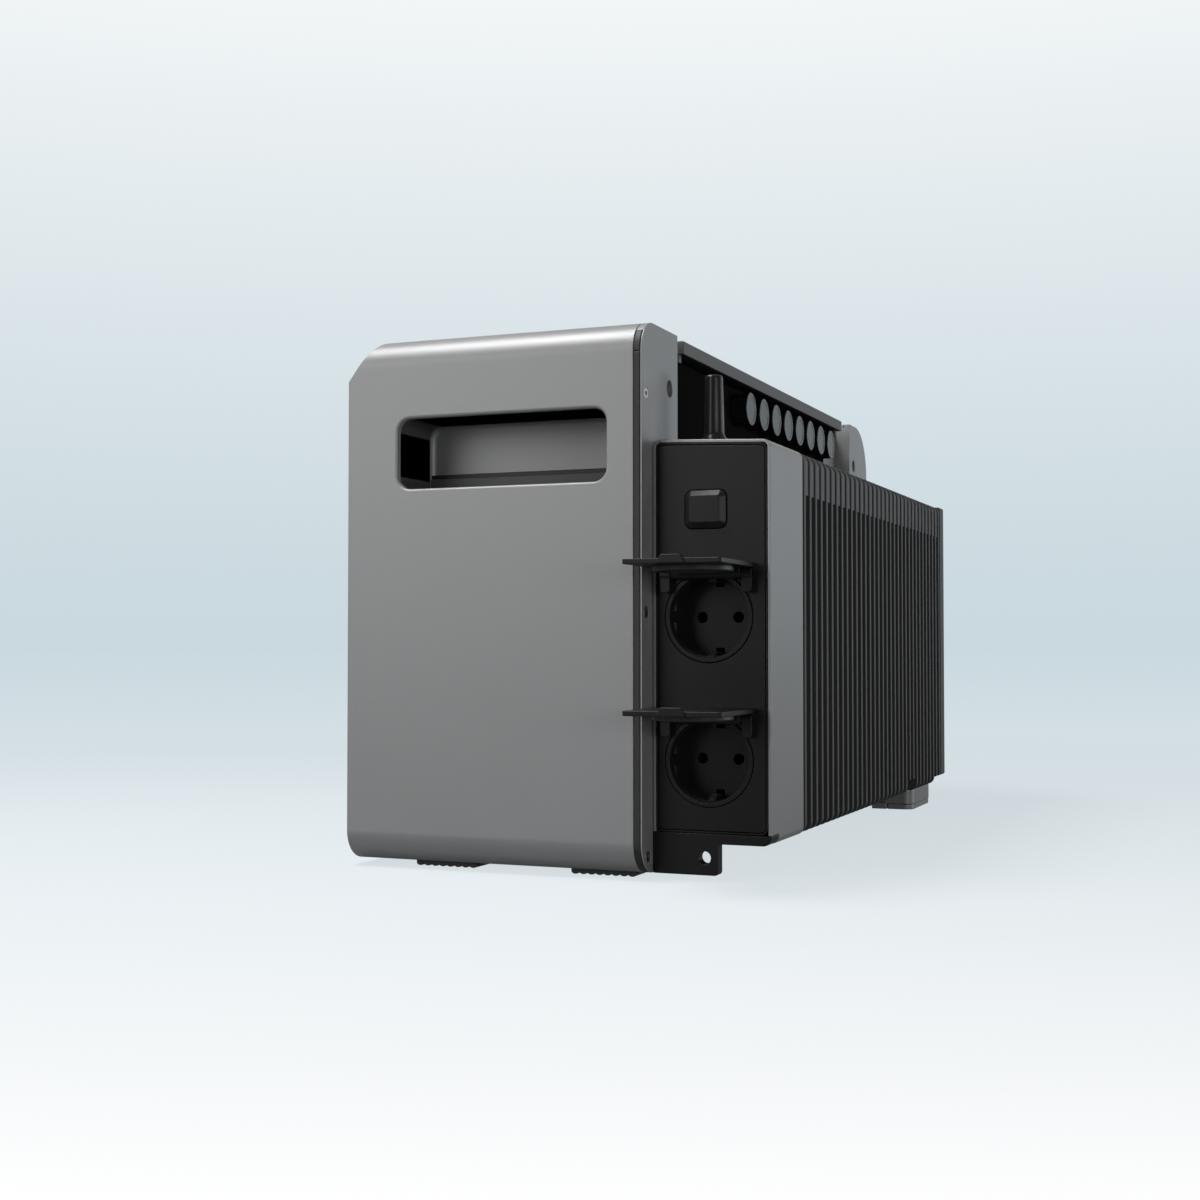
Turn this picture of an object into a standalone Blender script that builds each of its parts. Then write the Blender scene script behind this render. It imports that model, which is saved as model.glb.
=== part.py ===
"""Power station: a battery case with a handle in each end, and an inverter with mains sockets on its side.

Metres, +Z up, +X towards the inverter, +Y towards the rear. Sizes are measured from a datum on the
battery case: X = 0 at the right edge of the end covers, Y = 0 on the front cover's face and Z = 0 at
the covers' underside. An empty moves the datum, so that the part's origin is under its middle.
"""

import math

import bmesh
import bpy
from mathutils import Matrix, Vector

# Fits
GAP = 0.0003
MARGIN = 0.002
ROUND_STEPS = 5

# Battery case and its end covers
CASE_WIDTH = 0.1604
CASE_HEIGHT = 0.2718
CASE_LENGTH = 0.4725
END_DEPTH = 0.052
END_WALL = 0.0025
BEND_RADIUS = 0.0158
REAR_TOP_RADIUS = 0.034
CLIP_WIDTH = 0.0159
CLIP_HEIGHT = 0.0218

# Handle openings and the pockets behind them
HANDLE_WIDTH = 0.1165
HANDLE_HEIGHT = 0.0365
HANDLE_RADIUS = 0.007
HANDLE_EDGE = 0.0144
HANDLE_BELOW_TOP = 0.0428
POCKET_DEPTH = 0.036
POCKET_WALL = 0.002
LEDGE_HEIGHT = 0.0084
LEDGE_DEPTH = 0.003

# Side flanges, their seals and screws
SEAL_THICKNESS = 0.0032
SEAL_WIDTH = 0.010
FLANGE_SHEET = 0.0008
FLANGE_HOLE_RADIUS = 0.00425
FLANGE_HOLE_INSET = 0.012
FLANGE_HOLE_BELOW_TOP = 0.0293
SCREW_RADIUS = 0.0015
SCREW_HEAD_RADIUS = 0.0028
SCREW_LENGTH = 0.009
SCREW_INSET = 0.0062
SCREW_BELOW_BEND = 0.0204
SCREW_MIDDLE = 0.128
SCREW_CORNER = 0.0085
BOSS_WALL = 0.0026

# Battery housing, top lid and connector bay
HOUSING_WALL = 0.0015
HOUSING_RIM = 0.010
BAY_DEPTH = 0.006
LID_HEIGHT = 0.007
LID_STEP = 0.0008
LID_PLATE = 0.0025
LID_RIM = 0.002
LID_SETBACK = 0.0095
LID_REAR_SETBACK = 0.0227
LUG_WIDTH = 0.005
LUG_LENGTH = 0.006
LUG_DROP = 0.004

# Connectors
CONNECTOR_COUNT = 8
CONNECTOR_PITCH = 0.0266
CONNECTOR_REAR = 0.1048
CONNECTOR_DROP = 0.0208
BLOCK_START = 0.060
BLOCK_END_MARGIN = 0.0185
BLOCK_HALF_HEIGHT = 0.0100
BLOCK_DEPTH = 0.012
BLOCK_RADIUS = 0.006
CAP_RADIUS = 0.00975
CAP_LENGTH = 0.010
CAP_END = 0.002
CAP_WALL = 0.0017
CAP_FLUTES = 14
FLUTE_DEPTH = 0.0007

# Inverter box
INVERTER_WIDTH = 0.0605
INVERTER_BOTTOM = 0.0153
INVERTER_TOP = 0.2137
INVERTER_DRAFT = 0.0025
INVERTER_RADIUS = 0.004
FRONT_SETBACK = 0.0143
FRONT_CAP_DEPTH = 0.0579
FRONT_CAP_WALL = 0.0015
REAR_CAP_DEPTH = 0.0136
REAR_CAP_RISE = 0.0043
REAR_CAP_RADIUS = 0.0015
REAR_SETBACK = 0.01794
CHASSIS_DEPTH = 0.0248
CHASSIS_SHEET = 0.0015

# Front mount bracket
BRACKET_THICKNESS = 0.0065
SKIRT_HEIGHT = 0.005
SKIRT_DEPTH = 0.0134
SKIRT_RADIUS = 0.0045
TAB_WIDTH = 0.0336
TAB_HOLE_RADIUS = 0.00315
TAB_HOLE_INSET = 0.007
TAB_HOLE_HEIGHT = 0.0085
TAB_RADIUS = 0.002

# Socket panel and its frame
FRAME_WIDTH = 0.0008
FRAME_DEPTH = 0.005
FRAME_RADIUS = 0.0035
GROOVE = 0.0004
PANEL_THICKNESS = 0.003

# Sockets
SOCKET_ACROSS = 0.0290
SOCKET_HEIGHTS = {"upper": 0.1257, "lower": 0.0555}
SOCKET_RADIUS = 0.0223
SOCKET_PROUD = 0.0005
SOCKET_BACK = 0.012
RECESS_MOUTH = 0.0200
RECESS_RADIUS = 0.0196
RECESS_DEPTH = 0.01895
KEY_FLAT = 0.0175
KEY_DROP = 0.0032
KEY_SLOT = 0.0058
PIN_SPACING = 0.019
PIN_HOLE_RADIUS = 0.00265
EARTH_SLOT_WIDTH = 0.0044
EARTH_SLOT_INNER = 0.0152
EARTH_SLOT_OUTER = 0.0212
EARTH_SLOT_START = 0.004
CLIP_SHEET = 0.0008
CLIP_BULGE = 0.0031

# Socket lids, stored open
HINGE_RISE = 0.0206
HINGE_RADIUS = 0.0026
HINGE_PIN_RADIUS = 0.0012
HINGE_BOSS_INNER = 0.0180
HINGE_BOSS_WIDTH = 0.0055
HINGE_BOSS_DROP = 0.009
FLAP_WIDTH = 0.0485
FLAP_REACH = 0.0509
FLAP_THICKNESS = 0.0025
FLAP_RADIUS = 0.0015
FINGER_TOP_WIDTH = 0.0098
FINGER_BASE_WIDTH = 0.0144
FINGER_RISE = 0.0018
FINGER_REACH = 0.001
FINGER_ROOT = 0.002
RIM_RADIUS = 0.0194
RIM_WIDTH = 0.002
RIM_HEIGHT = 0.0023

# Power button and its switch
BUTTON_WIDTH = 0.0211
BUTTON_HEIGHT = 0.0187
BUTTON_RADIUS = 0.0036
BUTTON_PROUD = 0.0028
BUTTON_BEVEL = 0.0022
BUTTON_BODY = 0.009
BUTTON_TRAVEL = 0.002
BUTTON_ACROSS = 0.0277
BUTTON_LEVEL = 0.1782
STEM_RADIUS = 0.002
STEM_LENGTH = 0.006
SWITCH_WALL = 0.0025

# Heat sink
FIN_COUNT = 33
FIN_THICKNESS = 0.0034
FIN_MARGIN = 0.0027
FIN_RADIUS = 0.005
SINK_BASE = 0.0064
NOTCH_FIN = 23
NOTCH_FINS = 2
NOTCH_HEIGHT = 0.008
NOTCH_DEPTH = 0.005
TAIL_FINS = 2

# Antenna
ANTENNA_ACROSS = 0.0199
ANTENNA_BACK = 0.0357
ANTENNA_HEIGHT = 0.0339
ANTENNA_TOP_RADIUS = 0.0047
ANTENNA_NECK_RADIUS = 0.0054
ANTENNA_FOOT_RADIUS = 0.0072
ANTENNA_FOOT_HEIGHT = 0.0038
NUT_RADIUS = 0.0078
NUT_HEIGHT = 0.0018

# Inverter electronics
STANDOFF_HEIGHT = 0.0033
STANDOFF_RADIUS = 0.003
BOARD_THICKNESS = 0.0016
BOARD_INSET = 0.014
BOARD_END = 0.010
TRANSFORMER_SIZE = (0.012, 0.056, 0.070)
TRANSFORMER_CORE = 0.006
CAPACITOR_COUNT = 6
CAPACITOR_RADIUS = 0.009
CAPACITOR_PITCH = 0.021
CAPACITOR_LENGTH = 0.013
TRANSISTOR_COUNT = 8
TRANSISTOR_SIZE = (0.015, 0.020)
TRANSISTOR_PITCH = 0.030

# Battery
CELL_COUNT = 8
CELL_CLEARANCE = 0.0093
CELL_THICKNESS = 0.0362
CELL_HEADROOM = 0.0573
CELL_GROOVE = 0.0012
CELL_GROOVE_DEPTH = 0.004
TRAY_BASE = 0.0015
TRAY_END = 0.006
BUSBAR_WIDTH = 0.020
BUSBAR_OFFSET = 0.035
BUSBAR_END = 0.009
MANAGER_RISE = 0.010
MANAGER_INSET = 0.005
CABLE_RADIUS = 0.0032
CABLE_PLACE = 0.150
CABLE_START = 0.030
CABLE_BEND = 0.004
CABLE_BELOW_BOX = 0.0319

# Feet
FOOT_WIDTH = 0.035
FOOT_LENGTH = 0.033
FOOT_HEIGHT = 0.003
FOOT_SETBACK = 0.017
FOOT_RIBS = 7
FOOT_GROOVE = 0.0012
FOOT_OFFSETS = {"right": 0.0225, "left": 0.1105}
SUPPORT_RIGHT = 0.0512
SUPPORT_WIDTH = 0.0292
SUPPORT_LENGTH = 0.0625
SUPPORT_RADIUS = 0.007
SUPPORT_PAD_WIDTH = 0.0182
SUPPORT_PAD_HEIGHT = 0.0035

# Places that follow from the sizes
SEAL_SIDE = GAP
FLANGE_INNER = SEAL_SIDE + SEAL_THICKNESS + GAP
FLANGE_OUTER = FLANGE_INNER + FLANGE_SHEET
BOX_LEFT = FLANGE_OUTER + GAP
BOX_RIGHT = BOX_LEFT + INVERTER_WIDTH
HANDLE_TOP = CASE_HEIGHT - HANDLE_BELOW_TOP
HOUSING_START = END_WALL + POCKET_DEPTH + POCKET_WALL + 2 * GAP
HOUSING_END = CASE_LENGTH - HOUSING_START
HOUSING_LEFT = -CASE_WIDTH + END_WALL + GAP
HOUSING_BOTTOM = END_WALL + GAP
LID_TOP = CASE_HEIGHT - LID_STEP
LID_BOTTOM = LID_TOP - LID_HEIGHT
HOUSING_TOP = LID_BOTTOM - GAP
LID_START = END_DEPTH + LID_SETBACK
LID_END = CASE_LENGTH - END_DEPTH - LID_REAR_SETBACK
LID_LEFT = -CASE_WIDTH + CLIP_WIDTH + END_WALL
CONNECTOR_LEVEL = CASE_HEIGHT - CONNECTOR_DROP
CONNECTOR_LAST = CASE_LENGTH - CONNECTOR_REAR
CONNECTOR_FIRST = CONNECTOR_LAST - (CONNECTOR_COUNT - 1) * CONNECTOR_PITCH
BLOCK_END = CONNECTOR_LAST + BLOCK_END_MARGIN
CAP_START = -BAY_DEPTH + 2 * GAP
FRONT_CAP_END = FRONT_SETBACK + FRONT_CAP_DEPTH
SKIRT_TOP = INVERTER_BOTTOM + SKIRT_HEIGHT
PANEL_BACK = FRONT_SETBACK + PANEL_THICKNESS
SOCKET_X = BOX_LEFT + SOCKET_ACROSS
SOCKET_FACE = FRONT_SETBACK - SOCKET_PROUD
HINGE_Y = SOCKET_FACE - GAP - HINGE_RADIUS
FLAP_UNDERSIDE = HINGE_RADIUS + GAP
BUTTON_X = BOX_LEFT + BUTTON_ACROSS
BUTTON_FRONT = FRONT_SETBACK - BUTTON_PROUD
BUTTON_BACK = BUTTON_FRONT + BUTTON_BODY
SINK_START = FRONT_CAP_END + GAP
SINK_END = CASE_LENGTH - REAR_SETBACK - REAR_CAP_DEPTH - GAP
FIN_PITCH = (SINK_END - SINK_START - 2 * FIN_MARGIN - FIN_THICKNESS) / (FIN_COUNT - 1)
CHASSIS_RIGHT = BOX_LEFT + CHASSIS_DEPTH
SINK_LEFT = CHASSIS_RIGHT + GAP
BOARD_X = BOX_LEFT + CHASSIS_SHEET + STANDOFF_HEIGHT + GAP
STACK_LENGTH = CELL_COUNT * CELL_THICKNESS
STACK_START = (CASE_LENGTH - STACK_LENGTH) / 2
CELL_X = (HOUSING_LEFT - BAY_DEPTH) / 2
CELL_WIDTH = -BAY_DEPTH - HOUSING_LEFT - 2 * (HOUSING_WALL + CELL_CLEARANCE)
TRAY_BOTTOM = HOUSING_BOTTOM + HOUSING_WALL + GAP
CELL_BOTTOM = TRAY_BOTTOM + TRAY_BASE + GAP
CELL_TOP = HOUSING_TOP - CELL_HEADROOM
MANAGER_BOTTOM = CELL_TOP + MANAGER_RISE + GAP
CABLE_LEVEL = MANAGER_BOTTOM + BOARD_THICKNESS + GAP + CABLE_RADIUS
CABLE_X = (CELL_X + CELL_WIDTH / 2 - BAY_DEPTH - HOUSING_WALL) / 2
CABLE_LOW = INVERTER_TOP - CABLE_BELOW_BOX
SUPPORT_TOP = INVERTER_BOTTOM - GAP
SUPPORT_BOTTOM = SUPPORT_PAD_HEIGHT - FOOT_HEIGHT + GAP

# Finishes: colour, roughness, metallic
GREY_PAINT = ((0.230, 0.230, 0.232), 0.42, 0.55)
DARK_PAINT = ((0.130, 0.130, 0.132), 0.45, 0.40)
BLACK_PLASTIC = ((0.022, 0.022, 0.023), 0.50, 0.0)
BLACK_RUBBER = ((0.016, 0.016, 0.016), 0.80, 0.0)
BLACK_ANODISED = ((0.030, 0.030, 0.031), 0.48, 0.60)
BRIGHT_STEEL = ((0.620, 0.620, 0.610), 0.30, 1.0)
BOARD_GREEN = ((0.030, 0.140, 0.060), 0.55, 0.0)
CELL_BLUE = ((0.060, 0.120, 0.260), 0.40, 0.0)
CABLE_RED = ((0.400, 0.030, 0.025), 0.55, 0.0)


for old in list(bpy.data.objects):
    bpy.data.objects.remove(old)

parts = bpy.data.collections.new("power_station")
tools = bpy.data.collections.new("cutters")
for collection in (parts, tools):
    bpy.context.scene.collection.children.link(collection)

lowest_x = -CASE_WIDTH
lowest_y = HINGE_Y - FLAP_REACH - FINGER_REACH
datum = bpy.data.objects.new("datum", None)
datum.location = (-(lowest_x + BOX_RIGHT) / 2, -(lowest_y + CASE_LENGTH) / 2, FOOT_HEIGHT)
parts.objects.link(datum)


def arc(centre, radius, start, stop, steps):
    """Points of an arc, angles in degrees."""
    angles = [math.radians(start + (stop - start) * i / steps) for i in range(steps + 1)]
    return [(centre[0] + radius * math.cos(a), centre[1] + radius * math.sin(a)) for a in angles]


def circle(centre, radius, steps=32):
    """A closed circle, without its repeated last point."""
    return arc(centre, radius, 0, 360, steps)[:-1]


def rounded(corners):
    """A closed outline from corners (across, up, radius), with each corner replaced by its arc."""
    points = []
    for i, (x, y, radius) in enumerate(corners):
        corner = Vector((x, y))
        if radius <= 0:
            points.append((x, y))
            continue
        before = (Vector(corners[i - 1][:2]) - corner).normalized()
        after = (Vector(corners[(i + 1) % len(corners)][:2]) - corner).normalized()
        half = before.angle(after) / 2
        centre = corner + (before + after).normalized() * (radius / math.sin(half))
        first = corner + before * (radius / math.tan(half)) - centre
        turn = first.angle_signed(corner + after * (radius / math.tan(half)) - centre)
        for step in range(ROUND_STEPS + 1):
            spoke = first.copy()
            spoke.rotate(Matrix.Rotation(-turn * step / ROUND_STEPS, 2))
            points.append(tuple(centre + spoke))
    return points


def rectangle(left, bottom, right, top, radius=0.0):
    """A rectangle with equal corner radii."""
    corners = [(left, bottom), (right, bottom), (right, top), (left, top)]
    return rounded([(x, y, radius) for x, y in corners])


def read_mesh(data):
    """The closed mesh of a curve, or of an object with modifiers, with loose caps welded."""
    holder = data if isinstance(data, bpy.types.Object) else bpy.data.objects.new("holder", data)
    bpy.context.scene.collection.objects.link(holder)
    evaluated = holder.evaluated_get(bpy.context.evaluated_depsgraph_get())
    mesh = bpy.data.meshes.new_from_object(evaluated)
    bpy.data.objects.remove(holder)
    shape = bmesh.new()
    shape.from_mesh(mesh)
    bmesh.ops.remove_doubles(shape, verts=shape.verts, dist=1e-6)
    bmesh.ops.recalc_face_normals(shape, faces=shape.faces)
    shape.to_mesh(mesh)
    shape.free()
    return mesh


def slab(loops, axis, start, stop):
    """An outline and its holes, extruded from start to stop along an axis.

    The outline is drawn in Y and Z for axis X, in X and Z for axis Y, and in X and Y for axis Z.
    """
    curve = bpy.data.curves.new("outline", "CURVE")
    curve.dimensions = "2D"
    curve.fill_mode = "BOTH"
    curve.extrude = abs(stop - start) / 2
    for loop in loops:
        spline = curve.splines.new("POLY")
        spline.points.add(len(loop) - 1)
        for point, (across, up) in zip(spline.points, loop):
            point.co = (across, up, 0, 1)
        spline.use_cyclic_u = True
    mesh = read_mesh(curve)
    middle = (start + stop) / 2
    turns = {
        "X": Matrix(((0, 0, 1, middle), (1, 0, 0, 0), (0, 1, 0, 0), (0, 0, 0, 1))),
        "Y": Matrix(((1, 0, 0, 0), (0, 0, -1, middle), (0, 1, 0, 0), (0, 0, 0, 1))),
        "Z": Matrix.Translation((0, 0, middle)),
    }
    mesh.transform(turns[axis])
    return mesh


def block(low, high):
    """A box between two corners."""
    shape = bmesh.new()
    bmesh.ops.create_cube(shape, size=1)
    mesh = bpy.data.meshes.new("block")
    shape.to_mesh(mesh)
    shape.free()
    size = [b - a for a, b in zip(low, high)]
    centre = [(a + b) / 2 for a, b in zip(low, high)]
    mesh.transform(Matrix.Translation(centre) @ Matrix.Diagonal((*size, 1)))
    return mesh


def rod(axis, centre, radius, start, stop, sides=16, end_radius=None):
    """A cylinder or cone along an axis; centre gives the other two coordinates."""
    shape = bmesh.new()
    bmesh.ops.create_cone(
        shape,
        cap_ends=True,
        segments=sides,
        radius1=radius,
        radius2=radius if end_radius is None else end_radius,
        depth=abs(stop - start),
    )
    mesh = bpy.data.meshes.new("rod")
    shape.to_mesh(mesh)
    shape.free()
    turns = {
        "X": Matrix.Rotation(math.radians(90), 4, "Y"),
        "Y": Matrix.Rotation(math.radians(-90), 4, "X"),
        "Z": Matrix.Identity(4),
    }
    middle = (start + stop) / 2
    places = {
        "X": (middle, centre[0], centre[1]),
        "Y": (centre[0], middle, centre[1]),
        "Z": (centre[0], centre[1], middle),
    }
    mesh.transform(Matrix.Translation(places[axis]) @ turns[axis])
    return mesh


def turned(profile, place, steps):
    """A profile of (radius, height), listed from the top down, turned about the vertical through place."""
    mesh = bpy.data.meshes.new("profile")
    points = [(radius, 0, height) for radius, height in profile]
    mesh.from_pydata(points, [(i, i + 1) for i in range(len(points) - 1)], [])
    holder = bpy.data.objects.new("profile", mesh)
    screw = holder.modifiers.new("turn", "SCREW")
    screw.steps = steps
    screw.render_steps = steps
    screw.use_merge_vertices = True
    screw.merge_threshold = 0.00001
    result = read_mesh(holder)
    result.transform(Matrix.Translation(place))
    return result


def finish_of(name, finish):
    """A Principled material with a colour, a roughness and a metallic value."""
    colour, roughness, metallic = finish
    material = bpy.data.materials.new(name)
    material.use_nodes = True
    shader = material.node_tree.nodes["Principled BSDF"]
    shader.inputs["Base Color"].default_value = (*colour, 1)
    shader.inputs["Roughness"].default_value = roughness
    shader.inputs["Metallic"].default_value = metallic
    return material


def piece(name, mesh, finish, pivot=(0, 0, 0)):
    """A named sub-part of the object, with its origin on its pivot."""
    mesh.name = name
    mesh.transform(Matrix.Translation(-Vector(pivot)))
    mesh.shade_smooth()
    mesh.set_sharp_from_angle(angle=math.radians(30))
    mesh.materials.append(finish_of(name + "_finish", finish))
    body = bpy.data.objects.new(name, mesh)
    body.location = pivot
    body.parent = datum
    parts.objects.link(body)
    return body


def shape_with(body, mesh, operation):
    """Joins a tool's shape to a piece, or cuts it away."""
    tool = bpy.data.objects.new(f"{body.name}_{operation.lower()}", mesh)
    tool.parent = datum
    tool.hide_render = True
    tool.display_type = "WIRE"
    tools.objects.link(tool)
    change = body.modifiers.new(operation.lower(), "BOOLEAN")
    change.operation = operation
    change.solver = "EXACT"
    change.object = tool
    return tool


def cut(body, mesh):
    """Cuts a tool's shape out of a piece."""
    return shape_with(body, mesh, "DIFFERENCE")


def join(body, mesh):
    """Joins a tool's shape to a piece."""
    return shape_with(body, mesh, "UNION")


def along(end, depth):
    """Y at a depth in from the front or the rear of the case."""
    return depth if end == "front" else CASE_LENGTH - depth


def at_end(end, outline):
    """An outline of (depth, height) brought to the front or the rear of the case."""
    return [(along(end, depth), height) for depth, height in outline]


def top_radius(end):
    """Outer radius of the top bend at one end."""
    return BEND_RADIUS if end == "front" else REAR_TOP_RADIUS


def clip_wedge(inset, start, stop):
    """The corner that is clipped off along the case's top left edge, moved in by a wall."""
    slope = Vector((CLIP_WIDTH, CLIP_HEIGHT)).normalized()
    inward = Vector((slope.y, -slope.x))
    foot = Vector((-CASE_WIDTH, CASE_HEIGHT - CLIP_HEIGHT)) + inward * inset - slope * MARGIN * 4
    head = Vector((-CASE_WIDTH + CLIP_WIDTH, CASE_HEIGHT)) + inward * inset + slope * MARGIN * 4
    outer = (foot.x - MARGIN * 4, head.y + MARGIN * 4)
    wedge = [tuple(foot), tuple(head), (head.x, outer[1]), outer, (outer[0], foot.y)]
    return slab([wedge], "Y", start, stop)


def screw_places(end):
    """Depth and height of an end's three flange screws."""
    return [
        (SCREW_INSET, CASE_HEIGHT - top_radius(end) - SCREW_BELOW_BEND),
        (SCREW_INSET, SCREW_MIDDLE),
        (SCREW_CORNER, SCREW_CORNER),
    ]


def handle_outline():
    """The handle opening, in X and Z."""
    right = -HANDLE_EDGE
    bottom = HANDLE_TOP - HANDLE_HEIGHT
    return rectangle(right - HANDLE_WIDTH, bottom, right, HANDLE_TOP, HANDLE_RADIUS)


def end_cover(end):
    """A painted shell over one end of the case: face, top, bottom and left side, open to the right."""
    bend = top_radius(end)
    outside = rounded(
        [
            (END_DEPTH, 0, 0),
            (0, 0, BEND_RADIUS),
            (0, CASE_HEIGHT, bend),
            (END_DEPTH, CASE_HEIGHT, 0),
        ]
    )
    ceiling = CASE_HEIGHT - END_WALL
    past = END_DEPTH + MARGIN
    inside = rounded(
        [
            (past, END_WALL, 0),
            (END_WALL, END_WALL, BEND_RADIUS - END_WALL),
            (END_WALL, ceiling, bend - END_WALL),
            (past, ceiling, 0),
        ]
    )
    reach = sorted((along(end, -MARGIN), along(end, past + MARGIN)))
    cover = piece(f"{end}_end_cover", slab([at_end(end, outside)], "X", -CASE_WIDTH, 0), GREY_PAINT)
    cut(cover, clip_wedge(0, *reach))
    hollow = cut(cover, slab([at_end(end, inside)], "X", -CASE_WIDTH + END_WALL, MARGIN))
    cut(hollow, clip_wedge(END_WALL, *reach))
    opening = sorted((along(end, -MARGIN), along(end, END_WALL + MARGIN)))
    cut(cover, slab([handle_outline()], "Y", *opening))
    boss_radius = SCREW_RADIUS + GAP + BOSS_WALL
    for depth, height in screw_places(end):
        spot = (along(end, depth), height)
        join(cover, rod("X", spot, boss_radius, -SCREW_LENGTH, 0))
        cut(cover, rod("X", spot, SCREW_RADIUS + GAP, -SCREW_LENGTH - MARGIN, MARGIN))


def handle_pocket(end):
    """A moulded tub behind the handle opening, with a low ledge across the foot of its back wall."""
    left = -HANDLE_EDGE - HANDLE_WIDTH - POCKET_WALL
    right = -HANDLE_EDGE + POCKET_WALL
    bottom = HANDLE_TOP - HANDLE_HEIGHT - POCKET_WALL
    mouth = END_WALL + GAP
    span = sorted((along(end, mouth), along(end, mouth + POCKET_DEPTH + POCKET_WALL)))
    low, high = (left, span[0], bottom), (right, span[1], HANDLE_TOP + POCKET_WALL)
    tub = piece(f"{end}_handle_pocket", block(low, high), GREY_PAINT)
    inside = sorted((along(end, mouth - MARGIN), along(end, mouth + POCKET_DEPTH)))
    cut(tub, slab([handle_outline()], "Y", *inside))
    floor = HANDLE_TOP - HANDLE_HEIGHT - POCKET_WALL / 2
    back = mouth + POCKET_DEPTH
    span = sorted((along(end, back - LEDGE_DEPTH), along(end, back + POCKET_WALL / 2)))
    low = (left + POCKET_WALL / 2, span[0], floor)
    high = (right - POCKET_WALL / 2, span[1], floor + POCKET_WALL / 2 + LEDGE_HEIGHT)
    join(tub, block(low, high))


def side_flange(end):
    """A thin plate on the cover's right side, deep along the top bend and folded in at its back edge."""
    bend = top_radius(end)
    plate = rounded(
        [
            (0, 0, BEND_RADIUS),
            (END_DEPTH, 0, 0),
            (END_DEPTH, CASE_HEIGHT, 0),
            (0, CASE_HEIGHT, bend),
        ]
    )
    eye = (END_DEPTH - FLANGE_HOLE_INSET, CASE_HEIGHT - FLANGE_HOLE_BELOW_TOP)
    loops = [at_end(end, plate), at_end(end, circle(eye, FLANGE_HOLE_RADIUS, 20))]
    flange = piece(f"{end}_side_flange", slab(loops, "X", -BAY_DEPTH + GAP, FLANGE_OUTER), GREY_PAINT)
    fold, past = END_DEPTH - FLANGE_SHEET, END_DEPTH + MARGIN
    floor, ceiling = END_WALL + GAP, CASE_HEIGHT - END_WALL
    beside_fold = [(fold, floor), (fold, ceiling - GAP)]
    clear = [(-MARGIN, -MARGIN), (past, -MARGIN), (past, floor)] + beside_fold
    clear += [(past, ceiling - GAP), (past, CASE_HEIGHT + MARGIN), (-MARGIN, CASE_HEIGHT + MARGIN)]
    cut(flange, slab([at_end(end, clear)], "X", -BAY_DEPTH - MARGIN, SEAL_SIDE))
    space = [(-MARGIN, -MARGIN), (fold, -MARGIN), (fold, ceiling)]
    space += arc((bend, CASE_HEIGHT - bend), bend - END_WALL, 90, 180, 2 * ROUND_STEPS)
    space.append((-MARGIN, CASE_HEIGHT - bend))
    cut(flange, slab([at_end(end, space)], "X", SEAL_SIDE - MARGIN, FLANGE_INNER))
    wide = SCREW_HEAD_RADIUS + GAP
    for depth, height in screw_places(end):
        spot = (along(end, depth), height)
        cone = (FLANGE_INNER - MARGIN / 2, FLANGE_OUTER + MARGIN / 2)
        narrow = wide - FLANGE_SHEET - MARGIN / 2
        cut(flange, rod("X", spot, narrow, *cone, end_radius=wide + MARGIN / 2))


def edge_seal(end):
    """A black strip between the cover and the flange, down the front edge and round the bottom bend."""
    top = CASE_HEIGHT - top_radius(end) - GAP
    corner = (BEND_RADIUS, BEND_RADIUS)
    fold = END_DEPTH - FLANGE_SHEET - GAP
    strip = [(0, top)] + arc(corner, BEND_RADIUS, 180, 270, 2 * ROUND_STEPS)
    strip += [(fold, 0), (fold, SEAL_WIDTH)]
    strip += arc(corner, BEND_RADIUS - SEAL_WIDTH, 270, 180, ROUND_STEPS) + [(SEAL_WIDTH, top)]
    holes = [circle(spot, SCREW_RADIUS + GAP, 12) for spot in screw_places(end)]
    loops = [at_end(end, loop) for loop in [strip] + holes]
    piece(f"{end}_edge_seal", slab(loops, "X", SEAL_SIDE, SEAL_SIDE + SEAL_THICKNESS), BLACK_RUBBER)


def flange_screws(end):
    """Countersunk screws through a flange and its seal into the cover."""
    inner = SCREW_HEAD_RADIUS - FLANGE_SHEET
    profile = [(0, 0), (SCREW_HEAD_RADIUS, 0), (inner, -FLANGE_SHEET), (SCREW_RADIUS, -FLANGE_SHEET)]
    profile += [(SCREW_RADIUS, -SCREW_LENGTH), (0, -SCREW_LENGTH)]
    for number, (depth, height) in enumerate(screw_places(end), 1):
        screw = turned(profile, (0, 0, 0), 12)
        screw.transform(Matrix.Rotation(math.radians(90), 4, "Y"))
        body = piece(f"{end}_flange_screw_{number}", screw, BRIGHT_STEEL)
        body.location = (FLANGE_OUTER, along(end, depth), height)


def housing_outline(inset):
    """Cross-section of the battery housing, in X and Z, before its corner is clipped."""
    return rectangle(
        HOUSING_LEFT + inset,
        HOUSING_BOTTOM + inset,
        -BAY_DEPTH - inset,
        HOUSING_TOP - inset,
    )


def connector_outline(extra):
    """The connector block's face, in Y and Z, grown by a clearance."""
    low = CONNECTOR_LEVEL - BLOCK_HALF_HEIGHT - extra
    high = CONNECTOR_LEVEL + BLOCK_HALF_HEIGHT + extra
    return rectangle(BLOCK_START - extra, low, BLOCK_END + extra, high, BLOCK_RADIUS + extra)


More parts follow.
